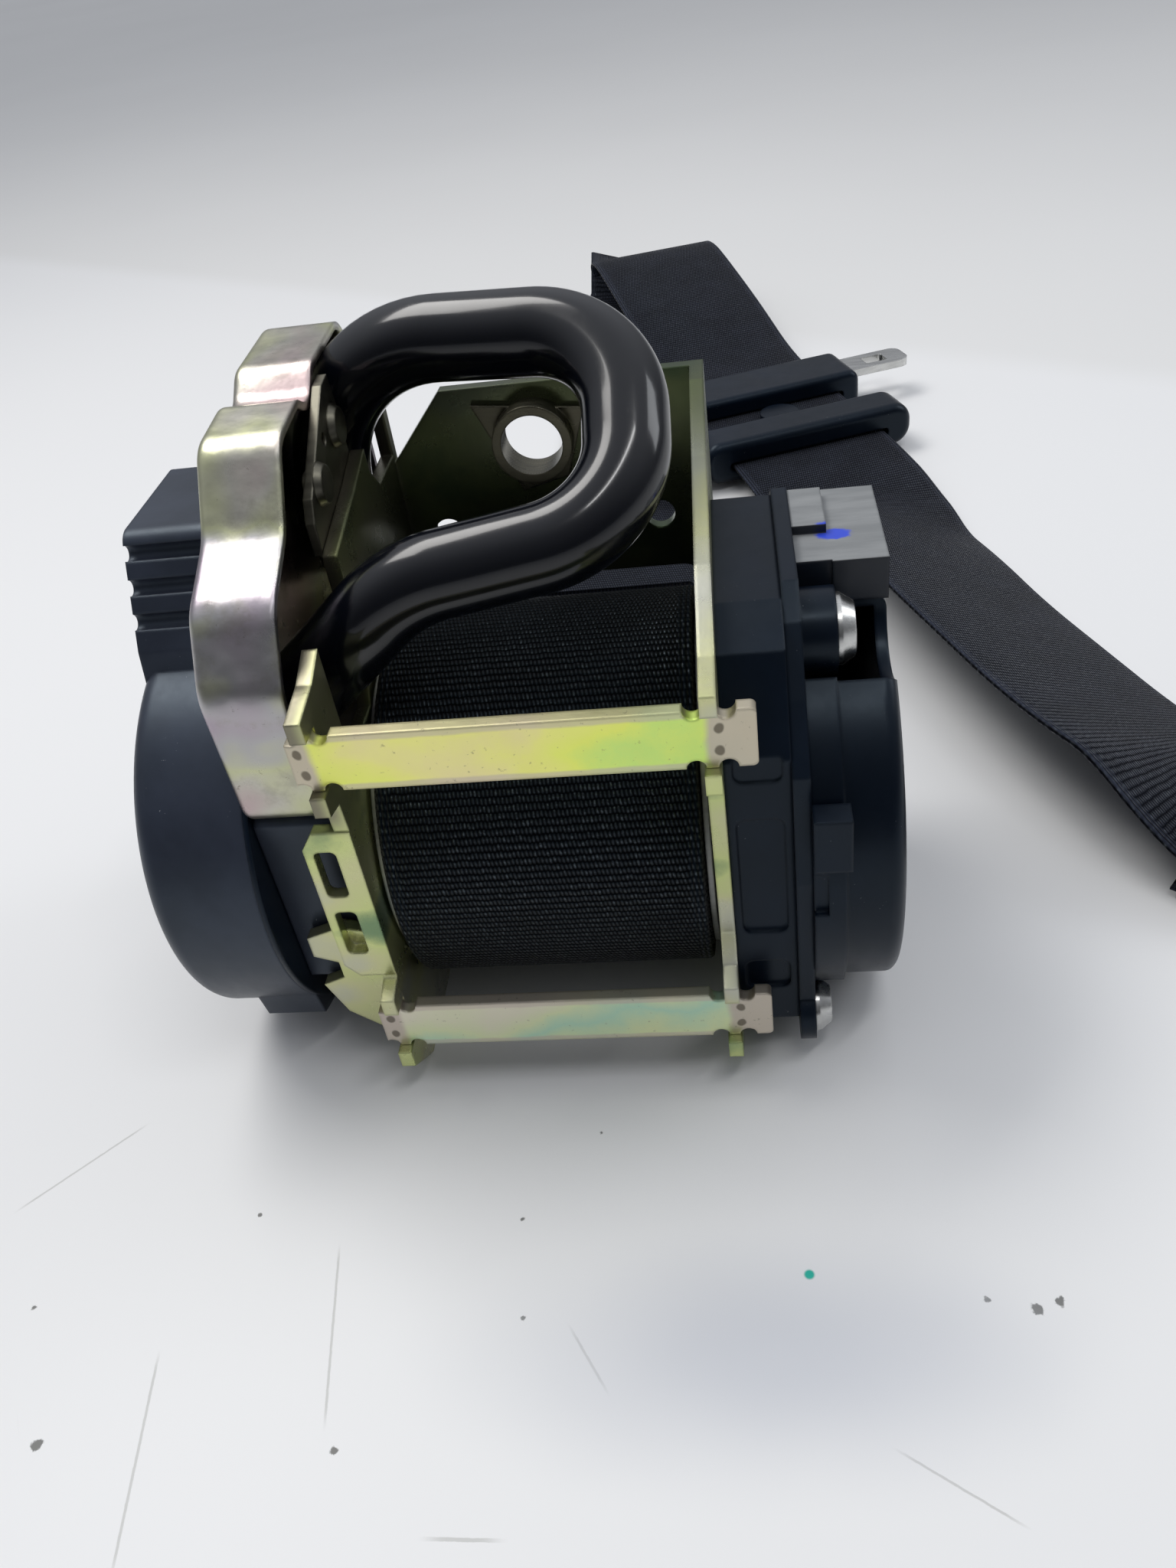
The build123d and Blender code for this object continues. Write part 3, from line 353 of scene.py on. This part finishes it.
def webbing(name, tint, glint):
    """Woven polyester: leaning warp cells in rows, ribbed selvedges, with painted shade in the hollows.
    UVs are in millimetres.
    """
    made = Shader(name)
    uv = made.add("ShaderNodeUVMap").outputs[0]
    across = made.axis(0, uv)
    along = made.axis(1, uv)
    wobble = made.math("MULTIPLY", made.noise(0.8, 2.0, 0.5, (1, 0.4, 1), uv), 0.55)
    rows = made.math("DIVIDE", made.math("ADD", along, wobble), WEAVE_ROW)
    within = made.math("FRACT", rows)
    lean = made.math("MULTIPLY", made.math("SUBTRACT", within, 0.5), 0.28)
    shift = made.math("MULTIPLY", made.math("FLOOR", rows), 0.5)
    shifted = made.math("ADD", made.math("DIVIDE", across, WEAVE_PITCH), shift)
    columns = made.math("ADD", shifted, lean)
    offset = made.math("SUBTRACT", made.math("FRACT", columns), 0.5)
    thread = made.math("SUBTRACT", 1.0, made.math("MULTIPLY", made.math("ABSOLUTE", offset), 2.0))
    arch = made.math("SINE", made.math("MULTIPLY", within, math.pi))
    cell = made.math("MULTIPLY", made.math("POWER", thread, 0.6), made.math("POWER", arch, 0.7))
    from_edge = made.math("SUBTRACT", BELT_WIDTH / 2, made.math("ABSOLUTE", across))
    selvedge = made.step(from_edge, 2.3, 1.7)
    wave = made.math("SINE", made.math("MULTIPLY", from_edge, math.pi / SELVEDGE_RIB))
    rib = made.math("POWER", made.math("ABSOLUTE", wave), 0.6)
    height = made.math("ADD", made.math("MULTIPLY", cell, made.math("SUBTRACT", 1.0, selvedge)),
                       made.math("MULTIPLY", rib, selvedge))
    patchy = made.noise(0.09, 3.0, 0.6, (1, 1, 1), uv)
    light = made.mix(made.step(patchy, 0.3, 0.7), scaled(tint, 0.8), scaled(tint, 1.25))
    # Painted shade: the hollows between cells and between selvedge ribs are darkened to 0.12 of the tint.
    colour = made.mix(height, scaled(tint, 0.12), light)
    made.set(Base_Color=colour, Sheen_Weight=0.05, Sheen_Roughness=0.45)
    sparkle = made.step(made.noise(1.1, 2.0, 0.6, (1, 1, 1), uv), 0.50, 0.66)
    bright = made.math("MULTIPLY_ADD", sparkle, 1.3, 0.6)
    shine = made.math("MULTIPLY", made.math("POWER", cell, 2.5), bright)
    made.set(Specular_IOR_Level=made.math("MULTIPLY", shine, glint))
    made.set(Specular_Tint=(0.72, 0.88, 1.0, 1.0))
    worn = made.noise(2.4, 2.0, 0.5, (1, 1, 1), uv)
    made.set(Roughness=made.math("MULTIPLY_ADD", worn, 0.5, 0.18))
    made.bump(height, 1.0, 0.00030)
    return made.material


# Materials of the part
M_YELLOW = bar_zinc("zinc yellow", YELLOW_FILM, 26, UPPER_BAR)
M_GREEN = bar_zinc("zinc green", GREEN_FILM, 22, LOWER_BAR)
M_PALE = drawn_steel()
M_PLATE = frame_zinc()
M_DARKZINC = metal("zinc dark", (0.20, 0.19, 0.15), 0.38, 0.3)
M_CAST = metal("cast alloy", (0.42, 0.42, 0.41), 0.5, 0.2)
M_STEEL = metal("bright steel", (0.66, 0.66, 0.64), 0.26, 0.2)
M_COVER = plastic("cover plastic", (0.0022, 0.0050, 0.0115), 0.30, shine=0.27)
# Painted sheen: the left cover and pinion carrier get a copy of the black cover plastic made several
# times lighter.
M_LEFT_PAINTED_SHEEN = plastic("left cover plastic", (0.0240, 0.0285, 0.0430), 0.36, shine=0.45)
M_CONNECTOR = connector_plastic()
M_WHITE = plastic("white plastic", (0.62, 0.62, 0.58), 0.4, 0.0)
M_TUBE = gloss_black()
M_NUT = metal("blackened nut", (0.16, 0.15, 0.11), 0.3, 0.3)
M_RUBBER = plastic("seal rubber", (0.02, 0.02, 0.02), 0.6, 0.0)
# Painted shade: the wound roll is the same webbing as the strap, with a tint about six times darker for
# the shade it lies in.
M_ROLL_PAINTED_SHADE = webbing("webbing wound", (0.0042, 0.0072, 0.0115), 1.0)
M_THREAD = plastic("sewing thread", (0.030, 0.032, 0.040), 0.5, 0.0)
M_STRAP = webbing("webbing strap", (0.026, 0.030, 0.044), 0.4)

MATERIALS = {
    M_YELLOW: ("tie_bar_upper",),
    M_GREEN: ("tie_bar_lower",),
    M_PALE: ("pretensioner_housing",),
    M_PLATE: ("frame",),
    M_DARKZINC: ("guide_plate", "guide_rivets", "lock_ring"),
    M_CAST: ("spool", "lock_head"),
    M_STEEL: ("drive_balls", "gas_generator", "drive_pinion", "return_spring", "torsion_bar",
              "lock_pawl", "clutch_spring", "connector_pins", "base_screws", "sensor_ball",
              "tongue_blade", "guide_lug", "anchor_plate"),
    M_COVER: ("spring_plate", "mechanism_base", "mechanism_flange", "right_cover",
              "tongue_body", "guide_loop", "stop_button"),
    M_LEFT_PAINTED_SHEEN: ("left_cover", "pinion_carrier"),
    M_CONNECTOR: ("connector_housing",),
    M_WHITE: ("spring_arbor", "left_bush", "inertia_disc", "sensor_cup", "sensor_lever"),
    M_RUBBER: ("piston_seal",),
    M_NUT: ("mounting_nut",),
    M_TUBE: ("pretensioner_tube",),
    M_STRAP: ("webbing_rear", "webbing_bridge", "webbing_front", "webbing_hem"),
    M_ROLL_PAINTED_SHADE: ("webbing_roll",),
}
for material, names in MATERIALS.items():
    for name in names:
        slots = NODES[name].data.materials
        slots.clear()
        slots.append(material)


# Kit for meshes
def new_object(name, data):
    made = bpy.data.objects.new(name, data)
    bpy.context.scene.collection.objects.link(made)
    return made


def mesh_piece(name, points, faces, material, uvs=None, smooth=True):
    """A mesh object from points in metres; uvs gives one pair for each point."""
    data = bpy.data.meshes.new(name)
    data.from_pydata([tuple(p) for p in points], [], faces)
    if uvs:
        layer = data.uv_layers.new(name="UVMap")
        for loop in data.loops:
            layer.data[loop.index].uv = uvs[loop.vertex_index]
    for face in data.polygons:
        face.use_smooth = smooth
    data.materials.append(material)
    return new_object(name, data)


def rings_to_faces(count, size, closed_ring=True):
    """Quads between rings of points listed one after another."""
    faces = []
    span = size if closed_ring else size - 1
    for ring in range(count - 1):
        for i in range(span):
            a = ring * size + i
            b = ring * size + (i + 1) % size
            faces.append((a, b, b + size, a + size))
    return faces


def capped_faces(count, size):
    """Quads between closed rings, with the first and the last ring filled."""
    faces = rings_to_faces(count, size)
    faces.append(tuple(range(size)))
    faces.append(tuple(reversed(range((count - 1) * size, count * size))))
    return faces


def ribbon_columns(half):
    """Places across a ribbon in millimetres, close together at its two edges."""
    return (-half, -half + 0.5, -half / 2, 0.0, half / 2, half - 0.5, half)


def both_sides(columns):
    """Goes across a ribbon's top and back along its underside, with 1 or -1 for the side."""
    for x in columns:
        yield x, 1
    for x in reversed(columns):
        yield x, -1


def rounded_route(corners, radii, steps=20):
    """Points along straight runs joined by arcs, one radius for each corner, in millimetres."""
    corners = [Vector(c) for c in corners]
    route = [corners[0]]
    for before, corner, after, radius in zip(corners, corners[1:], corners[2:], radii):
        to_before = (before - corner).normalized()
        to_after = (after - corner).normalized()
        angle = to_before.angle(to_after)
        reach = radius / math.tan(angle / 2)
        middle = (to_before + to_after).normalized()
        centre = corner + middle * (radius / math.sin(angle / 2))
        start = corner + to_before * reach - centre
        end = corner + to_after * reach - centre
        turn = start.angle(end)
        for i in range(steps + 1):
            share = i / steps
            spoke = start * math.sin((1 - share) * turn) + end * math.sin(share * turn)
            route.append(centre + spoke / math.sin(turn))
    route.append(corners[-1])
    return route


def frames_along(route):
    """For each point of a route two normals that don't twist."""
    normal = None
    for i, point in enumerate(route):
        ahead = route[min(i + 1, len(route) - 1)]
        behind = route[max(i - 1, 0)]
        along = (ahead - behind).normalized()
        if normal is None:
            normal = along.orthogonal().normalized()
        normal = (normal - along * normal.dot(along)).normalized()
        yield point, normal, along.cross(normal)


# Bent tube with its open wall thickness
TUBE_CORNERS = ((-33.8, 60.5, 70.0), (-33.8, 60.5, 103.0), (17.0, 50.0, 104.0), (17.0, 25.0, 86.0),
                (-15.0, 21.5, 82.0), (-33.6, 19.4, 66.0))
TUBE_RADII = (24.0, 16.0, 15.0, 20.0)


def bent_tube():
    """The tube's outside and bore as one closed skin."""
    sides = 56
    points = []
    rings = list(frames_along(rounded_route(TUBE_CORNERS, TUBE_RADII)))
    order = [(r, TUBE_RADIUS) for r in rings] + [(r, TUBE_BORE) for r in reversed(rings)]
    for (centre, first, second), radius in order:
        for i in range(sides):
            turn = 2 * math.pi * i / sides
            spoke = first * math.cos(turn) + second * math.sin(turn)
            points.append(place(*(centre + spoke * radius)))
    count = len(order)
    faces = rings_to_faces(count, sides)
    last = (count - 1) * sides
    faces += [(last + i, last + (i + 1) % sides, (i + 1) % sides, i) for i in range(sides)]
    made = mesh_piece("tube_enamelled", points, faces, M_TUBE)
    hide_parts("pretensioner_tube")
    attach(made, "retractor")


# Wound webbing
TURN_STEPS = 96


def wound_webbing():
    """One long strip in a spiral."""
    turns = (ROLL_RADIUS - CORE_RADIUS) / BELT_THICK
    steps = int(turns * TURN_STEPS)
    half = BELT_WIDTH / 2
    columns = ribbon_columns(half)
    points = []
    uvs = []
    length = 0.0
    for i in range(steps + 1):
        share = i / steps
        radius = CORE_RADIUS + 0.7 + (ROLL_RADIUS - CORE_RADIUS - 1.3) * share
        angle = math.radians(45) - 2 * math.pi * turns * (1 - share)
        length += radius * 2 * math.pi * turns / steps
        wander = 0.35 * math.sin(angle * 0.37 + 1.0)
        for x, side in both_sides(columns):
            r = radius + side * (0.16 if abs(x) == half else 0.5)
            y = AXIS_Y + r * math.sin(angle)
            z = AXIS_Z + r * math.cos(angle)
            points.append(place(x + wander, y, z))
            uvs.append((x, length))
    faces = rings_to_faces(steps + 1, 2 * len(columns))
    made = mesh_piece("webbing_wound", points, faces, M_ROLL_PAINTED_SHADE, uvs)
    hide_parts("webbing_roll")
    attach(made, "reel")


bent_tube()
wound_webbing()

# Free webbing: one flat ribbon along its route
BRIDGE_TURN = math.radians(-72.2)
BRIDGE_DIR = Vector((math.cos(BRIDGE_TURN), math.sin(BRIDGE_TURN), 0))
BRIDGE_START = Vector((9.0, 359.0, 0))


def on_bridge(along, height):
    """A point over the stretch that carries the fittings."""
    return BRIDGE_START + BRIDGE_DIR * along + Vector((0, 0, height))


STRAP_ROUTE = (
    (0.0, 57.6, 57.6), (0.0, 68.0, 47.1), (0.0, 86.0, 28.0), (0.0, 104.0, 7.0), (0.0, 134.0, 0.9),
    (0.0, 200.0, 0.9), (0.0, 270.0, 0.9), (0.0, 340.0, 0.9), (0.0, 370.0, 0.9), (0.5, 384.0, 3.0),
    (1.5, 386.0, 12.0), (3.0, 383.5, 21.5), (6.0, 371.0, 24.2),
    tuple(on_bridge(4, 23.4)), tuple(on_bridge(42, 15.8)), tuple(on_bridge(74, 7.2)),
    tuple(on_bridge(104, 6.9)), tuple(on_bridge(140, 6.9)), tuple(on_bridge(157, 6.4)),
    tuple(on_bridge(178, 4.6)), tuple(on_bridge(196, 9.4)),
    (75.5, 149.5, 11.2), (82.0, 126.0, 11.2), (90.5, 103.0, 11.2), (99.0, 80.0, 11.2),
    (108.0, 63.0, 11.2), (121.0, 50.0, 9.0), (135.0, 40.0, 0.9), (148.0, 30.0, 0.9),
)
# Lean of the strap on its right edge, in degrees, against the length from the reel in millimetres
STRAP_LEAN = ((0, 0), (560, 0), (600, 24), (700, 24), (722, 0), (760, 0))
# Share of a step along the strap that has to be level for it to count as lying
STANDS_UPRIGHT = 0.35


def lean_at(length):
    """The lean at a length, in radians, smooth between the places given."""
    for (low, first), (high, last) in zip(STRAP_LEAN, STRAP_LEAN[1:]):
        if length <= high:
            share = (length - low) / (high - low)
            return math.radians(first + (last - first) * share * share * (3 - 2 * share))
    return 0.0


def smooth_line(name, route):
    """Dense points of the NURBS line through a route, in metres."""
    curve = bpy.data.curves.new(name, "CURVE")
    curve.dimensions = "3D"
    spline = curve.splines.new("NURBS")
    spline.points.add(len(route) - 1)
    for point, spot in zip(spline.points, route):
        point.co = (*(place(*spot)), 1.0)
    spline.order_u = 3
    spline.use_endpoint_u = True
    spline.resolution_u = 12
    helper = new_object(name, curve)
    bpy.context.view_layer.update()
    dense = bpy.data.meshes.new_from_object(helper.evaluated_get(bpy.context.evaluated_depsgraph_get()))
    line = [v.co.copy() for v in dense.vertices]
    bpy.data.objects.remove(helper)
    return line


def strap_frames(line):
    """For each point its length from the reel in millimetres, and the strap's ways across and up."""
    length = 0.0
    for i, centre in enumerate(line):
        ahead = line[min(i + 1, len(line) - 1)]
        behind = line[max(i - 1, 0)]
        along = (ahead - behind).normalized()
        if i:
            length += (centre - behind).length / MM
        # Where the strap stands upright, its way across is carried on from the point before
        flat = Vector((along.x, along.y, 0))
        if flat.length > STANDS_UPRIGHT:
            across = Vector((0, 0, 1)).cross(flat.normalized())
            if flat.y > 0:
                across = -across
        across = (across - along * across.dot(along)).normalized()
        up = along.cross(across).normalized()
        lean = lean_at(length)
        yield (centre, length, across * math.cos(lean) - up * math.sin(lean),
               up * math.cos(lean) + across * math.sin(lean))


def free_webbing():
    """The ribbon from the reel through the fittings to its hem."""
    line = smooth_line("strap line", STRAP_ROUTE)
    half = BELT_WIDTH / 2
    thick = BELT_THICK / 2 * MM
    columns = ribbon_columns(half)
    points = []
    uvs = []
    for centre, length, across, up in strap_frames(line):
        for x, side in both_sides(columns):
            rim = 0.35 if abs(x) == half else 1.0
            points.append(centre + across * (x * MM) + up * (thick * side * rim))
            uvs.append((x, length))
    faces = capped_faces(len(line), 2 * len(columns))
    made = mesh_piece("webbing_strap", points, faces, M_STRAP, uvs)
    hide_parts("webbing_rear", "webbing_bridge", "webbing_front")
    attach(made, "retractor")
    fittings = ("anchor_plate", "stop_button", "tongue_body", "tongue_blade", "guide_loop", "guide_lug")
    on_strap = sewn_hem() + [NODES[name] for name in fittings]
    total = sum((b - a).length for a, b in zip(line, line[1:]))
    print("strap length", round(total, 4))
    tuple(line[0])
    [tuple(p) for p in line]


# Sewn end of the strap
HEM_LENGTH = 40.0
HEM_LOW = 1.55
HEM_HIGH = 2.65
HEM_HALF = BELT_WIDTH / 2 - 0.6
HEM_END = Vector(STRAP_ROUTE[-1][:2]).to_3d()
HEM_BACK = (Vector((122.0, 50.0, 0.0)) - HEM_END).normalized()
HEM_SIDE = Vector((0, 0, 1)).cross(HEM_BACK)
STITCH = 2.6
STITCH_SEAMS = ((4.0, 18.5), (20.5, 36.0))


def on_hem(along, across, height):
    """A point of the hem, measured from the strap's end."""
    spot = HEM_END + HEM_BACK * along + HEM_SIDE * across
    return place(spot.x, spot.y, height)


def hem_fold():
    """The strap's end folded back on itself."""
    columns = ribbon_columns(HEM_HALF)
    points = []
    uvs = []
    steps = 20
    for i in range(steps + 1):
        along = HEM_LENGTH * i / steps
        tip = 0.35 if i in (0, steps) else 0.0
        for x, side in both_sides(columns):
            rim = 0.3 if abs(x) == HEM_HALF else tip
            height = HEM_HIGH - rim if side > 0 else HEM_LOW + rim
            points.append(on_hem(along, x, height))
            uvs.append((x, along))
    made = mesh_piece("hem_fold", points, capped_faces(steps + 1, 2 * len(columns)), M_STRAP, uvs)
    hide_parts("webbing_hem")
    return made


def hem_stitches():
    """Short raised beads along two boxes and their diagonals."""
    seams = []
    wide = HEM_HALF - 4.0
    for start, stop in STITCH_SEAMS:
        corners = ((start, -wide), (start, wide), (stop, wide), (stop, -wide))
        seams += list(zip(corners, corners[1:] + corners[:1]))
        seams += [(corners[0], corners[2]), (corners[1], corners[3])]
    beads = bmesh.new()
    up = Vector((0, 0, 1))
    shape = Matrix.Diagonal((1.05 * MM, 0.34 * MM, 0.22 * MM, 1.0))
    for (a0, x0), (a1, x1) in seams:
        run = Vector((a1 - a0, x1 - x0))
        count = max(2, int(run.length / STITCH))
        heading = (HEM_BACK * run.x + HEM_SIDE * run.y).normalized()
        turn = Matrix((heading, up.cross(heading), up)).transposed().to_4x4()
        for i in range(count):
            share = (i + 0.5) / count
            spot = on_hem(a0 + run.x * share, x0 + run.y * share, HEM_HIGH + 0.02)
            bmesh.ops.create_icosphere(
                beads, subdivisions=2, radius=1.0, matrix=Matrix.Translation(spot) @ turn @ shape)
    data = bpy.data.meshes.new("hem_stitches")
    beads.to_mesh(data)
    beads.free()
    for face in data.polygons:
        face.use_smooth = True
    data.materials.append(M_THREAD)
    return new_object("hem_stitches", data)


def sewn_hem():
    """The hem's two pieces, which ride with the retractor as the strap does."""
    pieces = [hem_fold(), hem_stitches()]
    for piece in pieces:
        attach(piece, "retractor")
    return pieces


free_webbing()


# Threaded nut in the back plate
def threaded_nut():
    """The thread in the nut's bore, one profile swept along a helix."""
    sides = 72
    turns = (THREAD_BACK - THREAD_FRONT) / THREAD_PITCH
    points = []
    steps = int(turns * sides)
    major = THREAD_MINOR + THREAD_DEPTH
    profile = ((0.0, THREAD_MINOR), (0.25, THREAD_MINOR), (0.6, major), (1.0, THREAD_MINOR))
    for i in range(steps + 1):
        angle = 2 * math.pi * i / sides
        rise = THREAD_PITCH * i / sides
        for share, radius in profile:
            y = THREAD_FRONT + rise + (share - 0.5) * THREAD_PITCH
            y = min(max(y, THREAD_FRONT), THREAD_BACK)
            x = NUT_X + radius * math.cos(angle)
            points.append(place(x, y, NUT_Z + radius * math.sin(angle)))
    faces = rings_to_faces(steps + 1, len(profile), closed_ring=False)
    made = mesh_piece("nut_thread", points, faces, M_NUT)
    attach(made, "retractor")


threaded_nut()

# Smooth shading where CAD faces curve
for node in NODES.values():
    for face in node.data.polygons:
        face.use_smooth = True
    with bpy.context.temp_override(object=node, active_object=node, selected_objects=[node],
                                   selected_editable_objects=[node]):
        bpy.ops.object.shade_smooth_by_angle(angle=math.radians(28))

# Table
TABLE_HALF = 6.0
EDGE_RIGHT = place(169, 261, 0)
EDGE_LEFT = place(-385, 601, 0)
# Dark chips on the table and their sizes, and thin scratches from point to point and their widths
CHIPS = (((58.4, -37.6), 0.5), ((64.5, -39.0), 0.9), ((67.6, -37.9), 0.7), ((-69.5, -57.7), 0.9),
         ((-27.7, -57.9), 0.5), ((-78.4, -38.4), 0.4), ((-4.5, -40.1), 0.4), ((-6.4, -24.9), 0.3),
         ((4.6, -10.1), 0.3), ((-47.6, -23.6), 0.3))
SCRATCHES = (((-33.6, -30.2), (-30.0, -53.9), 0.22), ((-56.4, -46.3), (-53.0, -72.1), 0.25),
             ((2.5, -42.2), (7.2, -49.5), 0.20), ((-13.0, -68.1), (-5.2, -68.1), 0.35),
             ((-87.7, -21.7), (-73.1, -7.4), 0.20), ((44.8, -57.5), (56.9, -64.9), 0.15))
SCRATCH_FADE = 2 * MM
# Turns and places of the faint scuffs
SCUFFS = ((0.25, 0.0), (1.2, 7.0), (-0.5, 3.0))
# Painted shadow: a soft bluish patch in front of the retractor, and how fast it fades each way
SHADE_MIDDLE = place(29.6, -45.2, 0)
SHADE_FADE = (26, 62, 1)
GREEN_SPECK = place(35.1, -33.9, 0)


class TableTop(Shader):
    """Pale laminate; each method lays one kind of mark over a tone."""

    def __init__(self, name):
        super().__init__(name)
        self.here = self.geometry()
        self.ragged = self.math("MULTIPLY", self.noise(900.0, 3.0, 0.7, coords=self.here), 0.0016)

    def past(self, start, heading):
        """How far a place lies beyond a start, in metres, along a heading."""
        reach = self.vector("DOT_PRODUCT", self.here, heading)
        return self.math("SUBTRACT", reach, start.dot(heading))

    def ground(self):
        """Two greys that meet at the soft edge behind the retractor."""
        along = (EDGE_LEFT - EDGE_RIGHT).normalized()
        out = Vector((along.y, -along.x, 0))
        cloud = self.noise(3.0, 3.0, 0.5, coords=self.here)
        near = self.mix(cloud, (0.80, 0.805, 0.81), (0.86, 0.86, 0.855))
        far = self.mix(cloud, (0.74, 0.74, 0.73), (0.82, 0.82, 0.81))
        return self.mix(self.step(self.past(EDGE_RIGHT, out), -0.012, 0.012), near, far)

    def scuffed(self, tone):
        most = 0.0
        for turn, where in SCUFFS:
            turned = self.mapped(self.here, (where, where, 0), (0, 0, turn))
            lines = self.noise(34.0, 3.0, 0.6, (14, 0.35, 1), coords=turned)
            most = self.math("MAXIMUM", most, self.step(lines, 0.735, 0.765))
        near = self.step(self.axis(1, self.here), 0.02, -0.10)
        return self.stain(tone, self.math("MULTIPLY", most, near), 0.25, (0.60, 0.61, 0.60))

    def chipped(self, tone):
        for (x, y), size in CHIPS:
            edge = self.math("ADD", self.vector("DISTANCE", self.here, place(x, y, 0)), self.ragged)
            dark = self.step(edge, (size + 0.85) * MM, (size + 0.55) * MM)
            tone = self.stain(tone, dark, 0.85, (0.07, 0.07, 0.06))
        return tone

    def scratched(self, tone):
        wavy = self.math("MULTIPLY", self.ragged, 0.12)
        for (x0, y0), (x1, y1), width in SCRATCHES:
            start = place(x0, y0, 0)
            run = place(x1, y1, 0) - start
            across = Vector((run.y, -run.x, 0)).normalized()
            off = self.math("ABSOLUTE", self.math("ADD", self.past(start, across), wavy))
            line = self.step(off, (0.16 + width * 0.4) * MM, (0.02 + width * 0.4) * MM)
            far = self.past(start, run.normalized())
            inside = self.math("MULTIPLY", self.step(far, -SCRATCH_FADE, SCRATCH_FADE),
                               self.step(far, run.length + SCRATCH_FADE, run.length - SCRATCH_FADE))
            tone = self.stain(tone, self.math("MULTIPLY", line, inside), 0.45, (0.33, 0.33, 0.30))
        return tone

    def with_painted_shadow(self, tone):
        # Painted shadow: the table is darkened to a bluish grey in a soft patch in front.
        drift = self.math("MULTIPLY", self.noise(14.0, 3.0, 0.5, coords=self.here), 0.8)
        reach = self.math("ADD", self.reach(SHADE_MIDDLE, SHADE_FADE), drift)
        return self.stain(tone, self.step(reach, 1.7, 0.5), 0.75, (0.56, 0.58, 0.63))


def table_top():
    """Scratched pale laminate with one green speck and a painted bluish shadow in front."""
    made = TableTop("table top")
    tone = made.with_painted_shadow(made.scratched(made.chipped(made.scuffed(made.ground()))))
    speck = made.step(made.vector("DISTANCE", made.here, GREEN_SPECK), 0.0009, 0.0005)
    made.set(Base_Color=made.mix(speck, tone, (0.02, 0.42, 0.33)))
    made.set(Roughness=0.42, Specular_IOR_Level=0.3)
    return made.material


def table():
    """One large flat sheet under the part."""
    sides = ((-1, -1), (1, -1), (1, 1), (-1, 1))
    corners = [Vector((x * TABLE_HALF, y * TABLE_HALF, 0)) for x, y in sides]
    made = mesh_piece("table", corners, [(0, 1, 2, 3)], table_top(), smooth=False)


table()

# Light
LIGHT_TARGET = Vector((0, 0, 0.05))


def area_light(name, spot, size, power, colour=(1, 1, 1)):
    """A soft rectangle that faces the retractor."""
    light = bpy.data.lights.new(name, "AREA")
    light.shape = "RECTANGLE"
    light.size, light.size_y = size
    light.energy = power
    light.color = colour
    made = new_object(name, light)
    made.location = spot
    aim = LIGHT_TARGET - Vector(spot)
    made.rotation_euler = aim.to_track_quat("-Z", "Y").to_euler()


area_light("key light", (-0.34, 0.26, 0.80), (0.50, 0.30), 3.4, (1.0, 0.98, 0.95))
area_light("strip light", (0.22, -0.22, 0.85), (0.45, 0.04), 1.1)
area_light("side light", (0.75, 0.25, 0.45), (0.25, 0.40), 1.0, (0.93, 0.96, 1.0))


def studio_world():
    """Soft room light: bright overhead, dim in front and low down."""
    world = bpy.data.worlds.new("studio")
    world.use_nodes = True
    tree = world.node_tree
    way = tree.nodes.new("ShaderNodeTexCoord").outputs["Generated"]
    parts = tree.nodes.new("ShaderNodeSeparateXYZ")
    tree.links.new(way, parts.inputs[0])
    levels = []
    for socket, low, high, dim, full in ((parts.outputs[2], 0.0, 0.9, 0.22, 0.78),
                                         (parts.outputs[1], -0.85, 0.1, 0.30, 1.0)):
        level = tree.nodes.new("ShaderNodeMapRange")
        level.interpolation_type = "SMOOTHSTEP"
        tree.links.new(socket, level.inputs["Value"])
        for key, value in (("From Min", low), ("From Max", high), ("To Min", dim), ("To Max", full)):
            level.inputs[key].default_value = value
        levels.append(level.outputs["Result"])
    both = tree.nodes.new("ShaderNodeMath")
    both.operation = "MULTIPLY"
    for socket, level in zip(both.inputs, levels):
        tree.links.new(level, socket)
    background = tree.nodes["Background"]
    background.inputs["Color"].default_value = (0.90, 0.93, 1.0, 1)
    tree.links.new(both.outputs[0], background.inputs["Strength"])
    bpy.context.scene.world = world


studio_world()

# Camera, fitted to the photograph
CAMERA_LENS = 37.5
CAMERA_SPOT = place(31.2, -124.4, 161.8)
CAMERA_RIGHT = Vector((0.9895, 0.0659, -0.1289))
CAMERA_UP = Vector((0.0589, 0.6303, 0.7741))
CAMERA_BACK = Vector((0.1323, -0.7736, 0.6198))


def photo_camera():
    """The camera at the place and turn found from the plates, bars, covers and nut."""
    data = bpy.data.cameras.new("camera")
    data.sensor_fit = "HORIZONTAL"
    data.sensor_width = 36.0
    data.lens = CAMERA_LENS
    data.clip_start = 0.005
    camera = new_object("camera", data)
    turn = Matrix((CAMERA_RIGHT, CAMERA_UP, CAMERA_BACK)).transposed()
    camera.matrix_world = Matrix.Translation(CAMERA_SPOT) @ turn.to_4x4()
    bpy.context.scene.camera = camera


photo_camera()
bpy.context.scene.view_settings.view_transform = "Standard"
